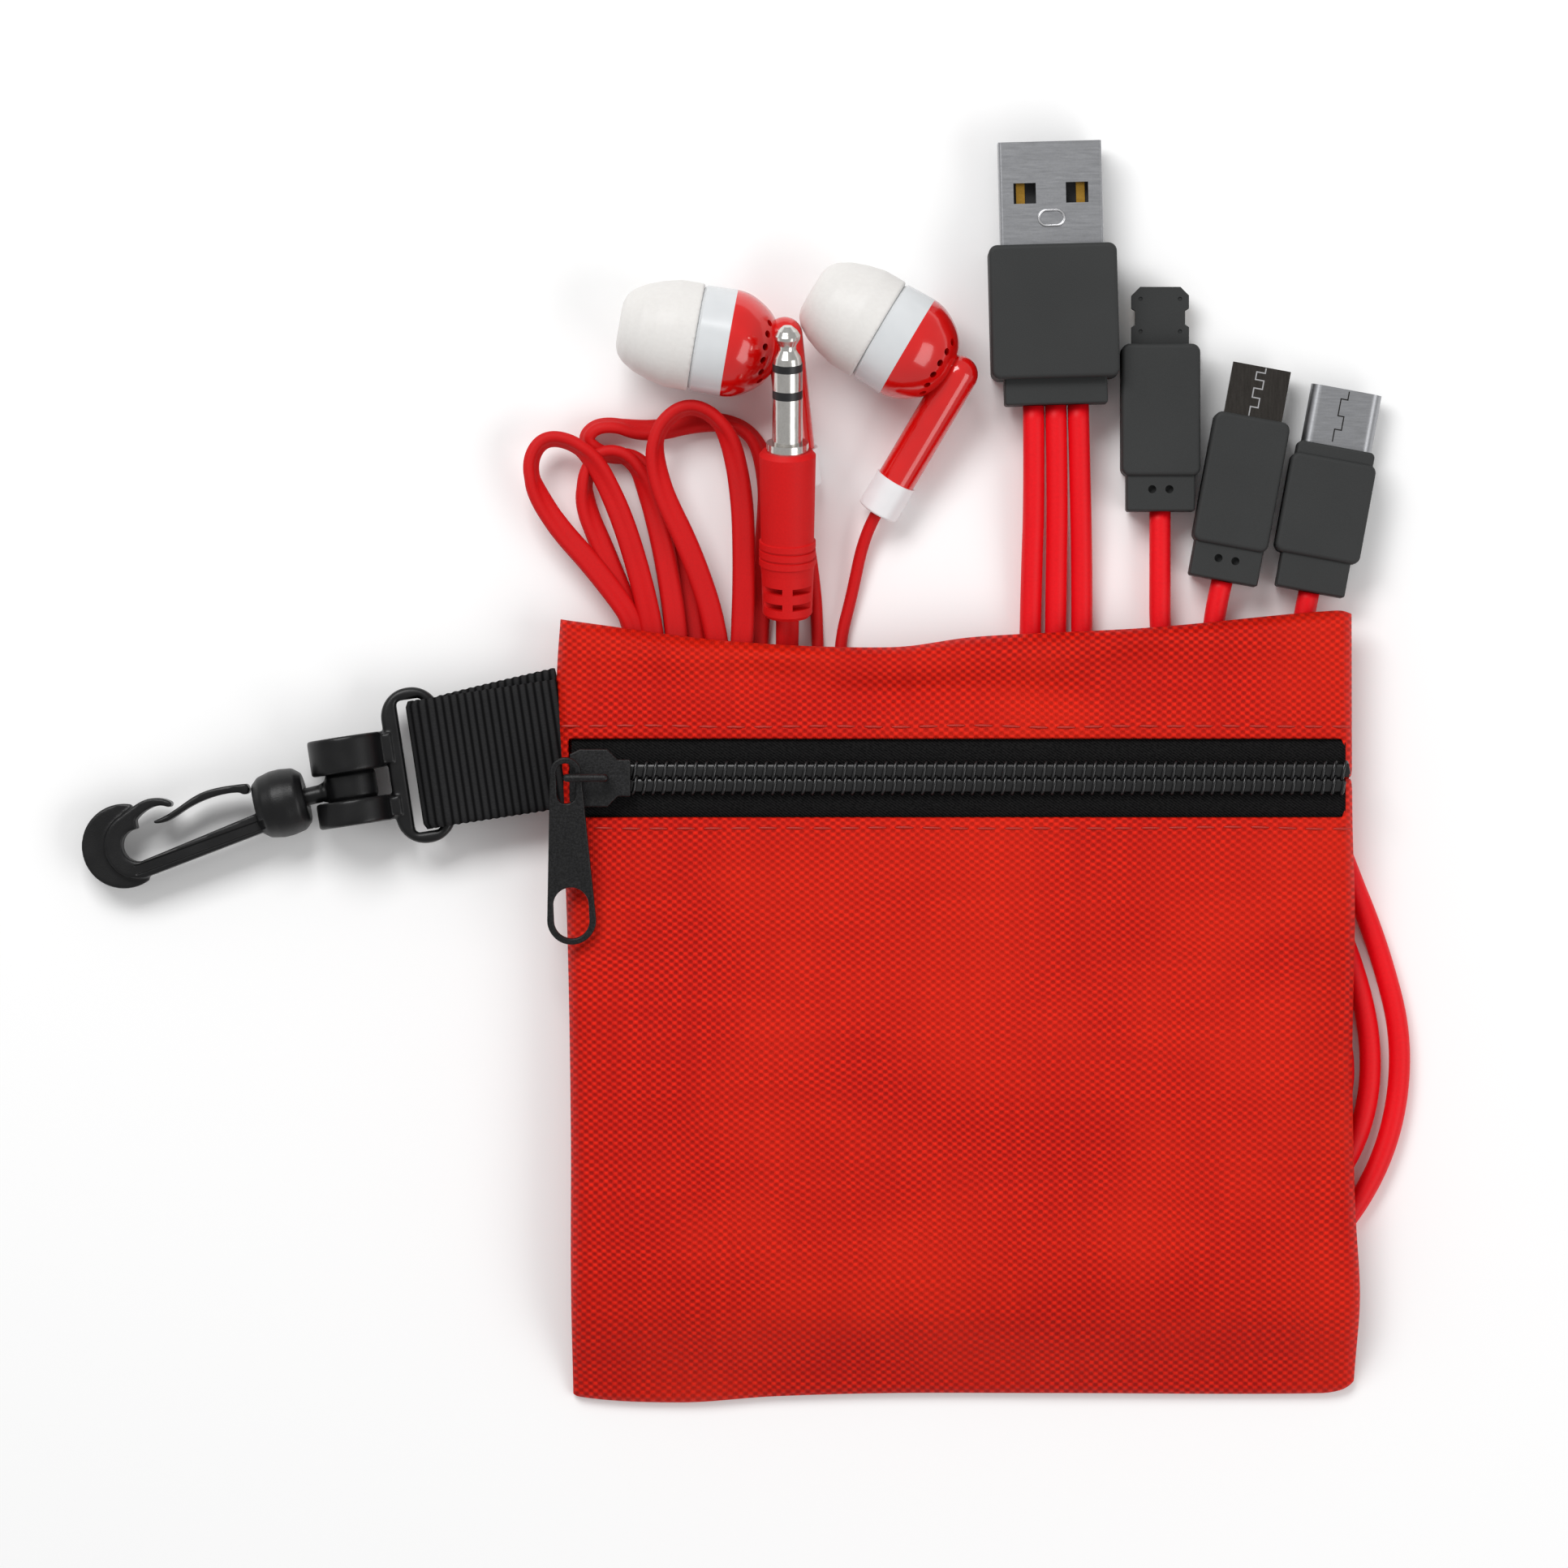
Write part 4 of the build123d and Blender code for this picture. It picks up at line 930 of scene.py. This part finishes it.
def oxfordLook():
    look = Finish("redOxford", Roughness=0.62, Specular_IOR_Level=0.16)
    spot = look.spot()
    x, y, z = look.axes(spot)
    warp = look.cloud(look.stretched(spot, (0.9, 0.05, 0.1)), 1.0, 3.0, 0.6)
    weft = look.cloud(look.stretched(spot, (0.05, 0.9, 0.1)), 1.0, 3.0, 0.6)
    sway = look.cloud(spot, 0.08, 2.0)
    cellX = (x + sway * 1.5) * (2 * math.pi / weaving["across"])
    cellY = (y + sway * 1.2) * (2 * math.pi / weaving["along"])
    weave = cellX.sin() * cellY.sin() * 0.5 + 0.5
    threads = (x * (2 * math.pi / weaving["thread"])).sin() * 0.5 + 0.5
    height = weave * 0.8 + threads * 0.12
    # Painted light: the same weave that raises the bump paints shade into its hollows and a lighter red onto
    # its raised cells.
    paintedWeaveLight = weave.between(0.12, 0.95)
    body = look.blend(paintedWeaveLight, colour(*weaving["gap"]), colour(*weaving["yarn"]))
    streak = warp * 0.5 + weft * 0.5
    streaked = look.blend(0.35, body, colour(*weaving["streak"]))
    toned = look.blend(streak.between(0.42, 0.62), streaked, body)
    large = look.cloud(spot, 0.045, 2.0)
    look.vary("Base Color", look.blend(large.between(0.4, 0.75) * 0.3, toned, colour(*weaving["worn"])))
    look.vary("Roughness", 0.72 - weave * 0.16)
    look.dent(height, weaving["relief"], 0.9)
    return look.material


def rubberLook(name, dark, light, rough, grain, depth):
    look = Finish(name, Roughness=rough, Specular_IOR_Level=0.25)
    spot = look.spot()
    speck = look.cloud(spot, grain, 2.0, 0.6)
    tone = look.cloud(spot, 0.12, 2.0)
    look.vary("Base Color", look.blend(speck * 0.6 + tone * 0.4, dark, light))
    look.vary("Roughness", speck * 0.15 + (rough - 0.07))
    look.dent(speck, depth, 0.6)
    return look.material


def glossLook(name, dark, light, rough, **fixed):
    look = Finish(name, Roughness=rough, **fixed)
    spot = look.spot()
    tone = look.cloud(spot, 0.25, 2.0)
    wipe = look.cloud(look.stretched(spot, (0.4, 2.2, 1.0)), 1.0, 3.0)
    look.vary("Base Color", look.blend(tone, dark, light))
    look.vary("Roughness", wipe * 0.12 + (rough - 0.05))
    return look.material


def steelLook(name, dark, light, rough, pull, coarse=1.0):
    look = Finish(name, Metallic=1.0, Roughness=rough)
    spot = look.spot()
    brushed = look.cloud(look.stretched(spot, pull), 1.0, 4.0, 0.6)
    speck = look.cloud(spot, 5.5 * coarse, 2.0)
    look.vary("Base Color", look.blend(brushed * 0.6 + speck * 0.4, dark, light))
    look.vary("Roughness", brushed * 0.18 + (rough - 0.08))
    look.dent(brushed * 0.6 + speck * 0.4, 0.01, 0.5)
    return look.material


def paintLook():
    look = Finish("blackPaint", Roughness=0.5, Specular_IOR_Level=0.3)
    spot = look.spot()
    orange = look.cloud(spot, 4.5, 2.0, 0.6)
    look.vary("Base Color", look.blend(orange.between(0.3, 0.75), colour(4, 4, 5), colour(30, 30, 31)))
    look.vary("Roughness", orange * 0.3 + 0.3)
    look.dent(orange, 0.06, 0.7)
    return look.material


oxford = oxfordLook()
for piece in (lowerPanel, upperPanel, backPanel):
    piece.data.materials.clear()
    piece.data.materials.append(oxford)
chargeRubber = rubberLook("chargeCordRubber", colour(212, 0, 14), colour(246, 8, 24), 0.5, 3.0, 0.01)
earRubber = rubberLook("earCordRubber", colour(180, 2, 5), colour(216, 10, 14), 0.6, 4.5, 0.03)
for name, piece in cords.items():
    piece.data.materials.clear()
    piece.data.materials.append(chargeRubber if name.startswith("charge") else earRubber)

silicone = rubberLook("earSilicone", colour(216, 213, 210), colour(231, 229, 226), 0.42, 2.0, 0.004)
for side in ("left", "right"):
    tip = "ear_tip_" + side
    moulded("siliconeTip_" + side, tip, tip, silicone, moulding["tipSwell"])
grip = rubberLook("plugGrip", colour(40, 41, 41), colour(56, 57, 57), 0.62, 7.0, 0.02)
nodeLooks = {
    "wide_plug_body": grip, "blade_plug_body": grip, "blade_plug_blade": grip, "micro_plug_body": grip,
    "c_plug_body": grip,
    "jack_overmold": rubberLook("jackGrip", colour(190, 6, 8), colour(220, 18, 18), 0.6, 4.0, 0.03),
    "y_splitter": earRubber,
    "nozzle_housing_left": glossLook("ringPlastic", colour(200, 203, 205), colour(222, 224, 226), 0.22),
    "rear_shell_left": glossLook("redGloss", colour(196, 2, 2), colour(224, 12, 8), 0.16, Coat_Weight=0.6),
    "stem_collar_left": glossLook("collarPlastic", colour(226, 226, 228), colour(244, 244, 245), 0.3),
    "nozzle_mesh_left": steelLook("meshSteel", colour(120, 120, 122), colour(190, 190, 192), 0.4, (3, 3, 3)),
    "driver_magnet_left": steelLook("magnetPlate", colour(170, 170, 172),
                                    colour(205, 205, 208), 0.25, (1, 1, 1)),
    "driver_diaphragm_left": glossLook("filmPlastic", colour(170, 150, 110), colour(200, 182, 140), 0.3),
    "jack_sleeve_contact": steelLook("jackPlate", colour(196, 192, 186),
                                     colour(232, 230, 226), 0.2, (2, 0.3, 2)),
    "jack_insulator_rings": glossLook("ringBlack", colour(14, 14, 16), colour(26, 26, 28), 0.4),
    "wide_plug_shell": steelLook("plugSteel", colour(142, 143, 146),
                                 colour(178, 179, 182), 0.36, (0.5, 5, 2)),
    "micro_plug_shell": steelLook("plugNickel", colour(52, 49, 46), colour(96, 92, 88), 0.2, (4, 0.5, 2)),
    "wide_plug_contacts": steelLook("contactGold", colour(178, 132, 48),
                                    colour(214, 168, 78), 0.28, (1, 3, 1)),
    "wide_plug_tongue": glossLook("tonguePlastic", colour(20, 20, 22), colour(34, 34, 36), 0.5),
    "zipper_slider_body": paintLook(),
}
for part in ("nozzle_housing", "rear_shell", "stem_collar",
             "nozzle_mesh", "driver_magnet", "driver_diaphragm"):
    nodeLooks[part + "_right"] = nodeLooks[part + "_left"]
for part in ("jack_ring_contact", "jack_tip_contact"):
    nodeLooks[part] = nodeLooks["jack_sleeve_contact"]
nodeLooks["c_plug_shell"] = nodeLooks["wide_plug_shell"]
nodeLooks["blade_plug_contacts"] = nodeLooks["wide_plug_contacts"]
nodeLooks["micro_plug_tongue"] = nodeLooks["c_plug_tongue"] = nodeLooks["wide_plug_tongue"]
nodeLooks["zipper_slider_bail"] = nodeLooks["zipper_pull_tab"] = nodeLooks["zipper_slider_body"]
for node, look in nodeLooks.items():
    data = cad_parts[node].data
    if data.materials:
        for k in range(len(data.materials)):
            data.materials[k] = look
    else:
        data.materials.append(look)
print("finishes given")

shells = {"wide": (11.4, 70.8, 4.0, 1.5, 18.6, 2.25), "micro": (30.85, 50.3, 2.75, -10.5, 19.4, 0.9),
          "c": (41.0, 49.0, 2.75, -10.5, 17.2, 1.25)}
seams = {"micro": [(0.5, 5.9), (0.5, 5.3), (-0.5, 5.3), (-0.5, 4.4), (0.5, 4.4), (0.5, 3.4), (-0.5, 3.4),
                   (-0.5, 2.3), (0.4, 2.3), (0.4, 1.2), (-0.5, 1.2), (-0.5, 0.1)],
         "c": [(0.3, 6.6), (0.3, 5.6), (-0.5, 5.6), (-0.5, 3.6),
               (0.2, 3.6), (0.2, 2.0), (-0.6, 2.0), (-0.6, 0.5)],
         "wide": 0.14, "rise": 0.015, "rim": 0.17, "rimWide": 2.95, "rimHigh": 1.8, "rimAt": 3.1}


def onShell(key, x, y, z):  # a place on a metal end, from the middle of its top where it leaves the grip
    left, low, high, turn, start, top = shells[key]
    aside = Matrix.Rotation(math.radians(turn), 3, "Z") @ Vector((x, start + y, 0))
    return at(left + aside.x, low + aside.y, high + top + z)


# The strip's colour is painted light: shade in the seam on the c end and a highlight along it on the micro
# end.
def seamStrip(key, look):  # a jigsaw seam where the shell's sheet meets, as one thin closed strip
    knots = [Vector(knot) for knot in seams[key]]
    points, faces = [], []
    for k, knot in enumerate(knots):
        before = (knot - knots[k - 1]).normalized() if k else (knots[1] - knot).normalized()
        after = (knots[k + 1] - knot).normalized() if k < len(knots) - 1 else before
        mitre = Vector((-before.y - after.y, before.x + after.x)) / (1 + before.dot(after))
        for side, high in ((1, 1), (-1, 1), (-1, -1), (1, -1)):
            place = knot + mitre * (side * seams["wide"] / 2)
            points.append(onShell(key, place.x, place.y, high * seams["rise"]))
    for k in range(len(knots) - 1):
        for j in range(4):
            a, b = k * 4 + j, k * 4 + (j + 1) % 4
            faces.append((a, b, b + 4, a + 4))
    faces += [(0, 1, 2, 3), tuple(range(len(points) - 4, len(points)))]
    piece = meshPiece("shellSeam_" + key, points, faces, False)
    outwards(piece, 0.000001)
    piece.data.materials.append(look)
    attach(piece, "root")


# The lip is drawn in pale steel, a painted highlight round the dimple.
def dimpleRim(look):  # the raised lip round the wide end's oval dimple
    points, faces = [], []
    count, around = 48, 8
    half = (seams["rimWide"] - seams["rimHigh"]) / 2
    for k in range(count):
        turn = 2 * math.pi * k / count
        middle = Vector((math.copysign(half, math.cos(turn)), 0))
        out = Vector((math.cos(turn), math.sin(turn)))
        for j in range(around):
            lean = 2 * math.pi * j / around
            place = middle + out * (seams["rimHigh"] / 2 + seams["rim"] * math.cos(lean))
            points.append(onShell("wide", place.x, seams["rimAt"] + place.y, seams["rim"] * math.sin(lean)))
    for k in range(count):
        for j in range(around):
            a, b = k * around + j, k * around + (j + 1) % around
            c, d = (k + 1) % count * around + j, (k + 1) % count * around + (j + 1) % around
            faces.append((a, b, d, c))
    piece = meshPiece("shellDimpleRim", points, faces)
    outwards(piece, 0.000001)
    piece.data.materials.append(look)
    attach(piece, "root")


# The dark steel paints shade into the c end's seam. The pale steel paints a highlight along the micro end's
# seam and on the wide end's dimple lip.
seamShadeSteel = steelLook("seamShadeSteel", colour(30, 29, 28), colour(56, 54, 52), 0.5, (2, 2, 2))
paintedHighlightSteel = steelLook("paintedHighlightSteel", colour(196, 196, 198), colour(226, 226, 228), 0.3, (2, 2, 2))
seamStrip("micro", paintedHighlightSteel)
seamStrip("c", seamShadeSteel)
dimpleRim(paintedHighlightSteel)
print("metal ends detailed")
